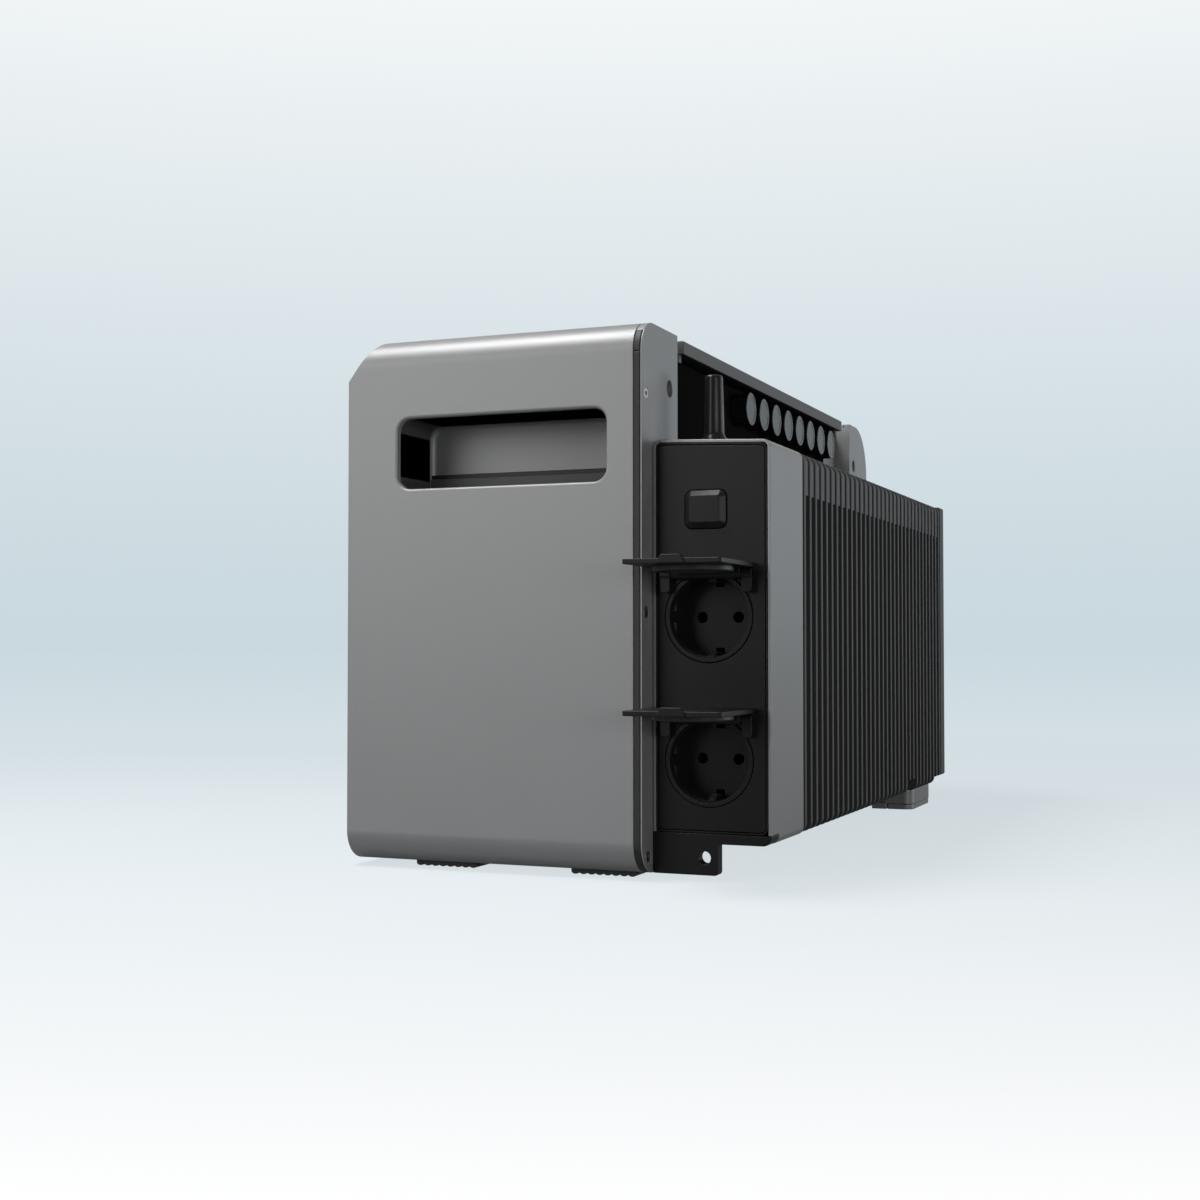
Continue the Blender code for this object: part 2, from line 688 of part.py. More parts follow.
def battery_housing():
    """The folded sheet box that holds the cells, open at the top under the lid."""
    shell = slab([housing_outline(0)], "Y", HOUSING_START, HOUSING_END)
    housing = piece("battery_housing", shell, GREY_PAINT)
    skin = END_WALL + GAP
    reach = (HOUSING_START - MARGIN, HOUSING_END + MARGIN)
    cut(housing, clip_wedge(skin, *reach))
    span = (HOUSING_START + HOUSING_WALL, HOUSING_END - HOUSING_WALL)
    hollow = cut(housing, slab([housing_outline(HOUSING_WALL)], "Y", *span))
    cut(hollow, clip_wedge(skin + HOUSING_WALL, *reach))
    rim = LID_RIM + HOUSING_RIM
    low = (LID_LEFT + rim, LID_START + rim, HOUSING_TOP - HOUSING_WALL - MARGIN)
    high = (-BAY_DEPTH - HOUSING_RIM, LID_END - rim, HOUSING_TOP + MARGIN)
    cut(housing, block(low, high))
    wall = (-BAY_DEPTH - HOUSING_WALL - MARGIN, -BAY_DEPTH + MARGIN)
    cut(housing, slab([connector_outline(GAP)], "X", *wall))
    cut(housing, rod("X", (CABLE_PLACE, CABLE_LOW), CABLE_RADIUS + GAP, *wall))


def top_lid():
    """A pan over the housing and the connector bay, with its rim turned down and a lug at each end."""
    low = (LID_LEFT, LID_START, LID_BOTTOM)
    high = (FLANGE_OUTER, LID_END, LID_TOP)
    lid = piece("top_lid", block(low, high), DARK_PAINT)
    low = (LID_LEFT + LID_RIM, LID_START + LID_RIM, LID_BOTTOM - MARGIN)
    high = (FLANGE_OUTER - LID_RIM, LID_END - LID_RIM, LID_TOP - LID_PLATE)
    cut(lid, block(low, high))
    right = FLANGE_OUTER - LID_RIM / 2
    for start in (LID_START + LID_RIM / 2, LID_END - LUG_LENGTH):
        low = (right - LUG_WIDTH, start, LID_BOTTOM - LUG_DROP)
        high = (right, start + LUG_LENGTH - LID_RIM / 2, LID_BOTTOM + LID_RIM)
        join(lid, block(low, high))


def connectors():
    """The connector block with its row of barrels, and a fluted cap turning on each barrel."""
    face = -BAY_DEPTH
    strip = slab([connector_outline(0)], "X", face - BLOCK_DEPTH, face)
    holder = piece("connector_block", strip, BLACK_PLASTIC)
    bore = CAP_RADIUS - FLUTE_DEPTH - CAP_WALL
    bottom = CAP_START + CAP_LENGTH - CAP_END
    for number in range(CONNECTOR_COUNT):
        spot = (CONNECTOR_FIRST + number * CONNECTOR_PITCH, CONNECTOR_LEVEL)
        join(holder, rod("X", spot, bore - GAP, face - BLOCK_DEPTH / 2, bottom - GAP, 20))
        flutes = []
        for step in range(2 * CAP_FLUTES):
            radius = CAP_RADIUS - FLUTE_DEPTH * (step % 2)
            start = 180 * step / CAP_FLUTES
            flutes += arc(spot, radius, start, start + 130 / CAP_FLUTES, 1)
        pivot = (CAP_START, *spot)
        fluted = slab([flutes], "X", CAP_START, CAP_START + CAP_LENGTH)
        cap = piece(f"connector_cap_{number + 1}", fluted, BLACK_PLASTIC, pivot)
        cut(cap, rod("X", spot, bore, CAP_START - MARGIN, bottom, 20))


def box_top(x):
    """Height of the inverter's top, which falls a little towards its right side."""
    return INVERTER_TOP - INVERTER_DRAFT * (x - BOX_LEFT) / INVERTER_WIDTH


def box_outline(inset, bottom=INVERTER_BOTTOM, radius=INVERTER_RADIUS):
    """The inverter's cross-section, in X and Z, moved in by a wall."""
    left, right = BOX_LEFT + inset, BOX_RIGHT - inset
    corner = max(radius - inset, GAP)
    return rounded(
        [
            (left, bottom + inset, corner),
            (right, bottom + inset, corner),
            (right, box_top(right) - inset, corner),
            (left, box_top(left) - inset, corner),
        ]
    )


def inverter_caps():
    """The grey front cap, a short tube round the sockets, and the rear cap."""
    loops = [box_outline(0), box_outline(FRONT_CAP_WALL)]
    cap = piece("inverter_front_cap", slab(loops, "Y", FRONT_SETBACK, FRONT_CAP_END), GREY_PAINT)
    low = (BOX_LEFT - MARGIN, FRONT_SETBACK - MARGIN, INVERTER_BOTTOM - MARGIN)
    high = (BOX_RIGHT + MARGIN, FRONT_SETBACK + SKIRT_DEPTH + GAP, SKIRT_TOP + GAP)
    cut(cap, block(low, high))
    start = SINK_END + GAP
    rear = box_outline(0, INVERTER_BOTTOM + REAR_CAP_RISE, REAR_CAP_RADIUS)
    piece("inverter_rear_cap", slab([rear], "Y", start, start + REAR_CAP_DEPTH), BLACK_ANODISED)


def mount_bracket():
    """A black plate under the panel: a skirt across the box, with a tab and its bolt hole below."""
    tab = BOX_LEFT + TAB_WIDTH
    outline = rounded(
        [
            (BOX_LEFT, 0, 0),
            (tab, 0, TAB_RADIUS),
            (tab, INVERTER_BOTTOM, 0),
            (BOX_RIGHT, INVERTER_BOTTOM, SKIRT_RADIUS),
            (BOX_RIGHT, SKIRT_TOP, 0),
            (BOX_LEFT, SKIRT_TOP, 0),
        ]
    )
    hole = circle((tab - TAB_HOLE_INSET, TAB_HOLE_HEIGHT), TAB_HOLE_RADIUS, 20)
    plate = slab([outline, hole], "Y", FRONT_SETBACK, FRONT_SETBACK + BRACKET_THICKNESS)
    bracket = piece("front_mount_bracket", plate, BLACK_ANODISED)
    skirt = rounded(
        [
            (BOX_LEFT, INVERTER_BOTTOM, 0),
            (BOX_RIGHT, INVERTER_BOTTOM, SKIRT_RADIUS),
            (BOX_RIGHT, SKIRT_TOP, 0),
            (BOX_LEFT, SKIRT_TOP, 0),
        ]
    )
    start = FRONT_SETBACK + BRACKET_THICKNESS / 2
    join(bracket, slab([skirt], "Y", start, FRONT_SETBACK + SKIRT_DEPTH))


def panel_outline(inset):
    """The opening of the front cap above the bracket, moved in by a width."""
    skin = FRONT_CAP_WALL + GAP + inset
    left, right = BOX_LEFT + skin, BOX_RIGHT - skin
    corner = max(FRAME_RADIUS - inset, GAP)
    bottom = SKIRT_TOP + GAP + inset
    return rounded(
        [
            (left, bottom, corner),
            (right, bottom, corner),
            (right, box_top(right) - skin, corner),
            (left, box_top(left) - skin, corner),
        ]
    )


def button_outline(extra):
    """The power button's outline, in X and Z, grown by a clearance."""
    half_width, half_height = BUTTON_WIDTH / 2 + extra, BUTTON_HEIGHT / 2 + extra
    left, right = BUTTON_X - half_width, BUTTON_X + half_width
    low, high = BUTTON_LEVEL - half_height, BUTTON_LEVEL + half_height
    return rectangle(left, low, right, high, BUTTON_RADIUS + extra)


def hinge_bosses(height):
    """The two bosses that hold a lid's pin, from the panel out to the hinge axis."""
    axis = height + HINGE_RISE
    root = FRONT_SETBACK + PANEL_THICKNESS / 2
    nose = HINGE_Y - HINGE_RADIUS
    low = axis - HINGE_BOSS_DROP
    side = rounded(
        [
            (root, axis + HINGE_RADIUS, 0),
            (nose, axis + HINGE_RADIUS, HINGE_RADIUS),
            (nose, low, HINGE_RADIUS),
            (root, low, 0),
        ]
    )
    left = SOCKET_X - HINGE_BOSS_INNER - HINGE_BOSS_WIDTH
    right = SOCKET_X + HINGE_BOSS_INNER
    return [slab([side], "X", start, start + HINGE_BOSS_WIDTH) for start in (left, right)]


def socket_panel():
    """The frame round the panel, and the panel with its hinge bosses, socket holes and button hole."""
    loops = [panel_outline(0), panel_outline(FRAME_WIDTH)]
    piece("panel_frame", slab(loops, "Y", FRONT_SETBACK, FRONT_SETBACK + FRAME_DEPTH), BLACK_PLASTIC)
    loops = [panel_outline(FRAME_WIDTH + GROOVE), button_outline(GAP)]
    panel = piece("socket_panel", slab(loops, "Y", FRONT_SETBACK, PANEL_BACK), BLACK_PLASTIC)
    boss_reach = HINGE_BOSS_INNER + HINGE_BOSS_WIDTH + MARGIN
    for height in SOCKET_HEIGHTS.values():
        for boss in hinge_bosses(height):
            join(panel, boss)
        spot = (SOCKET_X, height)
        cut(panel, rod("Y", spot, SOCKET_RADIUS + GAP, SOCKET_FACE - GAP, PANEL_BACK + MARGIN, 40))
        pin = (HINGE_Y, height + HINGE_RISE)
        cut(panel, rod("X", pin, HINGE_PIN_RADIUS + GAP, SOCKET_X - boss_reach, SOCKET_X + boss_reach))


def recess_outline(height):
    """The socket's round recess with a flat key and its tapered slot on each side, in X and Z."""
    swing = math.degrees(math.acos(KEY_FLAT / RECESS_RADIUS))
    slot = KEY_SLOT / 2
    floor = math.sqrt(RECESS_RADIUS**2 - slot**2)
    narrow = slot - GAP
    key = [(KEY_FLAT, -slot), (floor, -narrow), (floor, narrow), (KEY_FLAT, slot)]
    right = key + arc((0, 0), RECESS_RADIUS, swing, 180 - swing, 12)
    left = [(-x, -z) for x, z in right]
    return [(SOCKET_X + x, height + z) for x, z in right + left]


def socket(level):
    """An earthed mains outlet: a round cup with keys, pin holes, and slots for its earth clips."""
    height = SOCKET_HEIGHTS[level]
    spot = (SOCKET_X, height)
    floor = SOCKET_FACE + RECESS_DEPTH
    back = floor + SOCKET_BACK
    cup = piece(f"{level}_socket", rod("Y", spot, SOCKET_RADIUS, SOCKET_FACE, back, 40), BLACK_PLASTIC)
    cut(cup, rod("Y", spot, RECESS_MOUTH, SOCKET_FACE - MARGIN, SOCKET_FACE + KEY_DROP, 40))
    cut(cup, slab([recess_outline(height)], "Y", SOCKET_FACE + KEY_DROP / 2, floor))
    for side in (-1, 1):
        pin = (SOCKET_X + side * PIN_SPACING / 2, height)
        cut(cup, rod("Y", pin, PIN_HOLE_RADIUS, floor - MARGIN, back + MARGIN))
        reach = sorted((height + side * EARTH_SLOT_INNER, height + side * EARTH_SLOT_OUTER))
        low = (SOCKET_X - EARTH_SLOT_WIDTH / 2, SOCKET_FACE + EARTH_SLOT_START, reach[0])
        cut(cup, block(low, (SOCKET_X + EARTH_SLOT_WIDTH / 2, back + MARGIN, reach[1])))


def earth_strap(level):
    """A bent strap of bright metal: a sprung clip above and below, joined behind the socket."""
    floor = SOCKET_FACE + RECESS_DEPTH
    start = SOCKET_FACE + EARTH_SLOT_START + GAP
    behind = floor + SOCKET_BACK + GAP
    seat = EARTH_SLOT_OUTER - GAP
    bend = (floor - start) / 4
    clip = [(start, 0), (start + bend, CLIP_BULGE), (floor - bend, CLIP_BULGE), (floor, 0)]
    outer = [(y, seat - bulge) for y, bulge in clip] + [(behind + CLIP_SHEET, seat)]
    inner = [(y, seat - bulge - CLIP_SHEET) for y, bulge in clip] + [(behind, seat - CLIP_SHEET)]
    loop = outer + [(y, -z) for y, z in reversed(outer)]
    loop += [(y, -z) for y, z in inner] + inner[::-1]
    height = SOCKET_HEIGHTS[level]
    half = EARTH_SLOT_WIDTH / 2 - GAP
    strap = slab([[(y, height + z) for y, z in loop]], "X", SOCKET_X - half, SOCKET_X + half)
    piece(f"{level}_earth_strap", strap, BRIGHT_STEEL)


def rim_outline(inset, axis_y):
    """The lid seal's ring, cut straight beside the hinge, in X and Y."""
    centre = (SOCKET_X, axis_y - HINGE_RISE)
    radius = RIM_RADIUS - inset
    chord = HINGE_RISE - HINGE_RADIUS - 2 * GAP - inset
    half = math.degrees(math.acos(chord / radius))
    return arc(centre, radius, 90 + half, 450 - half, 28)


def socket_lid(level):
    """A flap hinged above its socket, stored open: plate, finger tab and knuckle, its seal and its pin."""
    axis = SOCKET_HEIGHTS[level] + HINGE_RISE
    pivot = (SOCKET_X, HINGE_Y, axis)
    under = axis + FLAP_UNDERSIDE
    left, right = SOCKET_X - FLAP_WIDTH / 2, SOCKET_X + FLAP_WIDTH / 2
    front, back = HINGE_Y - FLAP_REACH, SOCKET_FACE - GAP
    plate = slab([rectangle(left, front, right, back, FLAP_RADIUS)], "Z", under, under + FLAP_THICKNESS)
    lid = piece(f"{level}_socket_lid", plate, BLACK_PLASTIC, pivot)
    peak = under + FLAP_THICKNESS + FINGER_RISE
    finger = [
        (SOCKET_X - FINGER_BASE_WIDTH / 2, under + GAP),
        (SOCKET_X + FINGER_BASE_WIDTH / 2, under + GAP),
        (SOCKET_X + FINGER_TOP_WIDTH / 2, peak),
        (SOCKET_X - FINGER_TOP_WIDTH / 2, peak),
    ]
    join(lid, slab([finger], "Y", front - FINGER_REACH, front + FINGER_ROOT))
    barrel = HINGE_BOSS_INNER - GAP
    low = (SOCKET_X - barrel, HINGE_Y - HINGE_RADIUS, axis)
    join(lid, rod("X", (HINGE_Y, axis), HINGE_RADIUS, SOCKET_X - barrel, SOCKET_X + barrel, 20))
    join(lid, block(low, (SOCKET_X + barrel, HINGE_Y + HINGE_RADIUS / 2, under + FLAP_THICKNESS / 2)))
    bore = HINGE_PIN_RADIUS + GAP
    cut(lid, rod("X", (HINGE_Y, axis), bore, SOCKET_X - barrel - MARGIN, SOCKET_X + barrel + MARGIN))
    loops = [rim_outline(0, HINGE_Y), rim_outline(RIM_WIDTH, HINGE_Y)]
    seal = slab(loops, "Z", under - GAP - RIM_HEIGHT, under - GAP)
    piece(f"{level}_lid_seal", seal, BLACK_RUBBER, pivot)
    pin_reach = HINGE_BOSS_INNER + HINGE_BOSS_WIDTH
    pin = rod("X", (HINGE_Y, axis), HINGE_PIN_RADIUS, SOCKET_X - pin_reach, SOCKET_X + pin_reach, 12)
    piece(f"{level}_hinge_pin", pin, BRIGHT_STEEL)


def power_button():
    """A bevelled push button through the panel, and the switch box behind it that guides its stem."""
    pad = slab([button_outline(0)], "Y", BUTTON_FRONT, BUTTON_BACK)
    button = piece("power_button", pad, BLACK_PLASTIC, (BUTTON_X, BUTTON_BACK, BUTTON_LEVEL))
    edge = button.modifiers.new("bevel", "BEVEL")
    edge.width = BUTTON_BEVEL
    edge.segments = 2
    edge.limit_method = "ANGLE"
    edge.angle_limit = math.radians(60)
    spot = (BUTTON_X, BUTTON_LEVEL)
    join(button, rod("Y", spot, STEM_RADIUS, BUTTON_BACK - MARGIN, BUTTON_BACK + STEM_LENGTH))
    well = BUTTON_BACK + BUTTON_TRAVEL + GAP
    back = BUTTON_BACK + STEM_LENGTH
    body = [button_outline(GAP + SWITCH_WALL)]
    switch = piece("button_switch", slab(body, "Y", PANEL_BACK + GAP, back), BLACK_PLASTIC)
    cut(switch, slab([button_outline(GAP)], "Y", PANEL_BACK - MARGIN, well))
    cut(switch, rod("Y", spot, STEM_RADIUS + GAP, well - MARGIN, back + MARGIN))


def heat_sink():
    """A base plate with upright fins, cut to the box's outline with rounded outer corners."""
    root = SINK_LEFT + SINK_BASE
    tip = BOX_RIGHT + MARGIN
    comb = [(SINK_LEFT, SINK_END), (SINK_LEFT, SINK_START), (root, SINK_START)]
    for fin in range(FIN_COUNT):
        start = SINK_START + FIN_MARGIN + fin * FIN_PITCH
        stop = start + FIN_THICKNESS
        comb += [(root, start), (tip, start), (tip, stop), (root, stop)]
    comb.append((root, SINK_END))
    fins = slab([comb], "Z", INVERTER_BOTTOM - MARGIN, INVERTER_TOP + MARGIN)
    sink = piece("heat_sink", fins, BLACK_ANODISED)
    left = SINK_LEFT - MARGIN
    outline = rounded(
        [
            (left, INVERTER_BOTTOM, 0),
            (BOX_RIGHT, INVERTER_BOTTOM, FIN_RADIUS),
            (BOX_RIGHT, box_top(BOX_RIGHT), FIN_RADIUS),
            (left, box_top(left), 0),
        ]
    )
    envelope = slab([outline], "Y", SINK_START - MARGIN, SINK_END + MARGIN)
    shape_with(sink, envelope, "INTERSECT")
    first = SINK_START + FIN_MARGIN + NOTCH_FIN * FIN_PITCH - FIN_THICKNESS
    low = (BOX_RIGHT - NOTCH_DEPTH, first, INVERTER_BOTTOM - MARGIN)
    last = first + NOTCH_FINS * FIN_PITCH + FIN_THICKNESS
    cut(sink, block(low, (BOX_RIGHT + MARGIN, last, INVERTER_BOTTOM + NOTCH_HEIGHT)))
    tail = SINK_START + FIN_MARGIN + (FIN_COUNT - TAIL_FINS - 1) * FIN_PITCH + 2 * FIN_THICKNESS
    low = (left, tail, INVERTER_BOTTOM - MARGIN)
    cut(sink, block(low, (BOX_RIGHT + MARGIN, SINK_END + MARGIN, INVERTER_BOTTOM + REAR_CAP_RISE)))


def inverter_chassis():
    """A folded channel beside the heat sink's base, with standoffs for the circuit board."""
    bottom = INVERTER_BOTTOM + GAP
    top_left, top_right = box_top(BOX_LEFT) - GAP, box_top(CHASSIS_RIGHT) - GAP
    inner = BOX_LEFT + CHASSIS_SHEET
    channel = [
        (CHASSIS_RIGHT, bottom),
        (BOX_LEFT, bottom),
        (BOX_LEFT, top_left),
        (CHASSIS_RIGHT, top_right),
        (CHASSIS_RIGHT, top_right - CHASSIS_SHEET),
        (inner, top_left - CHASSIS_SHEET),
        (inner, bottom + CHASSIS_SHEET),
        (CHASSIS_RIGHT, bottom + CHASSIS_SHEET),
    ]
    chassis = piece("inverter_chassis", slab([channel], "Y", SINK_START, SINK_END), DARK_PAINT)
    for y in board_ends(2 * STANDOFF_RADIUS):
        for z in board_levels(2 * STANDOFF_RADIUS):
            join(chassis, rod("X", (y, z), STANDOFF_RADIUS, inner - CHASSIS_SHEET / 2, BOARD_X - GAP, 10))
    wall = (BOX_LEFT - MARGIN, BOX_LEFT + CHASSIS_SHEET + MARGIN)
    cut(chassis, rod("X", (CABLE_PLACE, CABLE_LOW), CABLE_RADIUS + GAP, *wall))


def board_ends(inset):
    """Front and rear of the inverter's board, moved in."""
    return SINK_START + BOARD_END + inset, SINK_END - BOARD_END - inset


def board_levels(inset):
    """Bottom and top of the inverter's board, moved in."""
    return INVERTER_BOTTOM + BOARD_INSET + inset, box_top(CHASSIS_RIGHT) - BOARD_INSET - inset


def inverter_electronics():
    """The circuit board, with its soldered capacitors and transistors, and the transformer on it."""
    front, rear = board_ends(0)
    low, high = board_levels(0)
    face = BOARD_X + BOARD_THICKNESS
    board = piece("inverter_board", block((BOARD_X, front, low), (face, rear, high)), BOARD_GREEN)
    cut(board, rod("X", (CABLE_PLACE, CABLE_LOW), CABLE_RADIUS + GAP, BOARD_X - MARGIN, face + MARGIN))
    depth, length, height = TRANSFORMER_SIZE
    middle = ((front + rear) / 2, (low + high) / 2)
    first = middle[0] + length / 2 + TRANSFORMER_CORE + 2 * CAPACITOR_RADIUS
    root = face - BOARD_THICKNESS / 2
    for number in range(CAPACITOR_COUNT):
        spot = (first + number // 2 * CAPACITOR_PITCH, middle[1] + (number % 2 - 0.5) * CAPACITOR_PITCH)
        join(board, rod("X", spot, CAPACITOR_RADIUS, root, face + CAPACITOR_LENGTH, 14))
    row = middle[0] - (TRANSISTOR_COUNT - 1) * TRANSISTOR_PITCH / 2
    width, tall = TRANSISTOR_SIZE
    for number in range(TRANSISTOR_COUNT):
        y = row + number * TRANSISTOR_PITCH - width / 2
        join(board, block((root, y, low + tall), (SINK_LEFT - GAP, y + width, low + 2 * tall)))
    seat = face + GAP
    corner = (seat, middle[0] - length / 2, middle[1] - height / 2)
    coil = block(corner, (seat + depth, middle[0] + length / 2, middle[1] + height / 2))
    transformer = piece("transformer", coil, DARK_PAINT)
    core = (seat + TRANSFORMER_CORE / 2, corner[1] - TRANSFORMER_CORE, corner[2] + TRANSFORMER_CORE)
    top = (seat + depth - TRANSFORMER_CORE / 2, middle[0] + length / 2 + TRANSFORMER_CORE)
    join(transformer, block(core, (*top, corner[2] + height - TRANSFORMER_CORE)))


def antenna():
    """A stub antenna with a flared foot, on its nut on top of the front cap."""
    x = BOX_LEFT + ANTENNA_ACROSS
    y = FRONT_SETBACK + ANTENNA_BACK
    seat = box_top(x - NUT_RADIUS) + GAP
    piece("antenna_nut", rod("Z", (x, y), NUT_RADIUS, seat, seat + NUT_HEIGHT, 6), BRIGHT_STEEL)
    base = NUT_HEIGHT + GAP
    crown = base + ANTENNA_HEIGHT
    edge = ANTENNA_TOP_RADIUS / 5
    profile = [
        (0, crown),
        (ANTENNA_TOP_RADIUS - edge, crown),
        (ANTENNA_TOP_RADIUS, crown - edge),
        (ANTENNA_NECK_RADIUS, base + ANTENNA_FOOT_HEIGHT),
        (ANTENNA_FOOT_RADIUS, base + ANTENNA_FOOT_HEIGHT / 6),
        (ANTENNA_FOOT_RADIUS, base),
        (0, base),
    ]
    piece("antenna", turned(profile, (x, y, seat), 20), BLACK_RUBBER)


def battery_pack():
    """Prismatic cells bonded in a row on a tray, and the management board above with its busbars."""
    left, right = CELL_X - CELL_WIDTH / 2, CELL_X + CELL_WIDTH / 2
    stop = STACK_START + STACK_LENGTH
    rows = [(stop, CELL_BOTTOM), (stop, CELL_TOP)]
    for number in range(CELL_COUNT - 1, 0, -1):
        joint = STACK_START + number * CELL_THICKNESS
        near, far = joint + CELL_GROOVE / 2, joint - CELL_GROOVE / 2
        depth = CELL_TOP - CELL_GROOVE_DEPTH
        rows += [(near, CELL_TOP), (near, depth), (far, depth), (far, CELL_TOP)]
    rows += [(STACK_START, CELL_TOP), (STACK_START, CELL_BOTTOM)]
    piece("battery_cells", slab([rows], "X", left, right), CELL_BLUE)
    inner = (STACK_START - GAP, stop + GAP)
    outer = (inner[0] - TRAY_END, inner[1] + TRAY_END)
    floor, rim = TRAY_BOTTOM + TRAY_BASE, CELL_TOP + MANAGER_RISE
    tray = [(outer[0], TRAY_BOTTOM), (outer[1], TRAY_BOTTOM), (outer[1], rim), (inner[1], rim)]
    tray += [(inner[1], floor), (inner[0], floor), (inner[0], rim), (outer[0], rim)]
    piece("cell_tray", slab([tray], "X", left, right), BLACK_PLASTIC)
    low = (left + MANAGER_INSET, outer[0], MANAGER_BOTTOM)
    high = (right - MANAGER_INSET, outer[1], MANAGER_BOTTOM + BOARD_THICKNESS)
    board = piece("battery_manager_board", block(low, high), BOARD_GREEN)
    for number in range(1, CELL_COUNT):
        x = CELL_X + BUSBAR_OFFSET * (1 if number % 2 else -1) - BUSBAR_WIDTH / 2
        joint = STACK_START + number * CELL_THICKNESS
        reach = CELL_THICKNESS - BUSBAR_END
        top = MANAGER_BOTTOM + BOARD_THICKNESS / 2
        join(board, block((x, joint - reach, CELL_TOP + GAP), (x + BUSBAR_WIDTH, joint + reach, top)))


def battery_cable():
    """The cable from the management board, down beside the cells and through both walls to the inverter."""
    down = arc((CABLE_X - CABLE_BEND, CABLE_LEVEL - CABLE_BEND), CABLE_BEND, 90, 0, 6)
    out = arc((CABLE_X + CABLE_BEND, CABLE_LOW + CABLE_BEND), CABLE_BEND, 180, 270, 6)
    route = [(CABLE_X - CABLE_START, CABLE_LEVEL)] + down + out + [(BOARD_X + BOARD_THICKNESS, CABLE_LOW)]
    curve = bpy.data.curves.new("cable", "CURVE")
    curve.dimensions = "3D"
    curve.bevel_depth = CABLE_RADIUS
    curve.bevel_resolution = 2
    curve.use_fill_caps = True
    spline = curve.splines.new("POLY")
    spline.points.add(len(route) - 1)
    for point, (x, z) in zip(spline.points, route):
        point.co = (x, CABLE_PLACE, z, 1)
    piece("battery_cable", read_mesh(curve), CABLE_RED)


def feet():
    """Ribbed rubber pads under the end covers, and the support foot and its pad under the inverter."""
    pitch = FOOT_WIDTH / FOOT_RIBS
    for end in ("front", "rear"):
        span = sorted((along(end, FOOT_SETBACK), along(end, FOOT_SETBACK + FOOT_LENGTH)))
        for side, offset in FOOT_OFFSETS.items():
            left = -offset - FOOT_WIDTH / 2
            ribs = [(left + FOOT_WIDTH, -GAP), (left, -GAP)]
            for number in range(FOOT_RIBS):
                x = left + number * pitch
                ribs += [(x, -FOOT_HEIGHT), (x + pitch / 2, -FOOT_HEIGHT)]
                ribs += [(x + pitch / 2, FOOT_GROOVE - FOOT_HEIGHT), (x + pitch, FOOT_GROOVE - FOOT_HEIGHT)]
            piece(f"{end}_{side}_foot", slab([ribs], "Y", *span), BLACK_RUBBER)
    left = SUPPORT_RIGHT - SUPPORT_WIDTH
    start = CASE_LENGTH - SUPPORT_LENGTH
    body = rounded(
        [
            (left, start, 0),
            (SUPPORT_RIGHT, start, SUPPORT_RADIUS),
            (SUPPORT_RIGHT, CASE_LENGTH, SUPPORT_RADIUS),
            (left, CASE_LENGTH, 0),
        ]
    )
    foot = piece("support_foot", slab([body], "Z", SUPPORT_BOTTOM, SUPPORT_TOP), GREY_PAINT)
    heel = SUPPORT_RIGHT - SUPPORT_PAD_WIDTH - GAP
    join(foot, block((left, start, -FOOT_HEIGHT), (heel, CASE_LENGTH, SUPPORT_BOTTOM + MARGIN)))
    left = SUPPORT_RIGHT - SUPPORT_PAD_WIDTH
    pad = rounded(
        [
            (left, start, 0),
            (SUPPORT_RIGHT, start, SUPPORT_RADIUS),
            (SUPPORT_RIGHT, CASE_LENGTH, SUPPORT_RADIUS),
            (left, CASE_LENGTH, 0),
        ]
    )
    piece("support_foot_pad", slab([pad], "Z", -FOOT_HEIGHT, SUPPORT_BOTTOM - GAP), GREY_PAINT)


for end_name in ("front", "rear"):
    end_cover(end_name)
    handle_pocket(end_name)
    side_flange(end_name)
    edge_seal(end_name)
    flange_screws(end_name)
battery_housing()
top_lid()
connectors()
inverter_caps()
mount_bracket()
socket_panel()
for level_name in SOCKET_HEIGHTS:
    socket(level_name)
    earth_strap(level_name)
    socket_lid(level_name)
power_button()
heat_sink()
inverter_chassis()
inverter_electronics()
antenna()
battery_pack()
battery_cable()
feet()
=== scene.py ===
import bpy
import numpy as np
from mathutils.geometry import tessellate_polygon
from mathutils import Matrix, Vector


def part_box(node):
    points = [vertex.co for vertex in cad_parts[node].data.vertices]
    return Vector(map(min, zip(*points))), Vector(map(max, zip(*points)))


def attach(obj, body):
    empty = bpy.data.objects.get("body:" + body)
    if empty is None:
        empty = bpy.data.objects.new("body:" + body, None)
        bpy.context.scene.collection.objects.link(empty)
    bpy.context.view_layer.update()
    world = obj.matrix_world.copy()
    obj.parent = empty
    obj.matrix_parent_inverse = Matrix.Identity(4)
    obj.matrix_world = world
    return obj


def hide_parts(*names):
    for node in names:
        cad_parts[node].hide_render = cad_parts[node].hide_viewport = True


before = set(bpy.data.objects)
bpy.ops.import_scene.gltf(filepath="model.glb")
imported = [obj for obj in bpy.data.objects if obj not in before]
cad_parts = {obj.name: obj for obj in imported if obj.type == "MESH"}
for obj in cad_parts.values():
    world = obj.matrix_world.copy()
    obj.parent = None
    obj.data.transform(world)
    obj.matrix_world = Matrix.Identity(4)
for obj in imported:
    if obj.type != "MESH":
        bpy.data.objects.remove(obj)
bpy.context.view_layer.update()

scene = bpy.context.scene

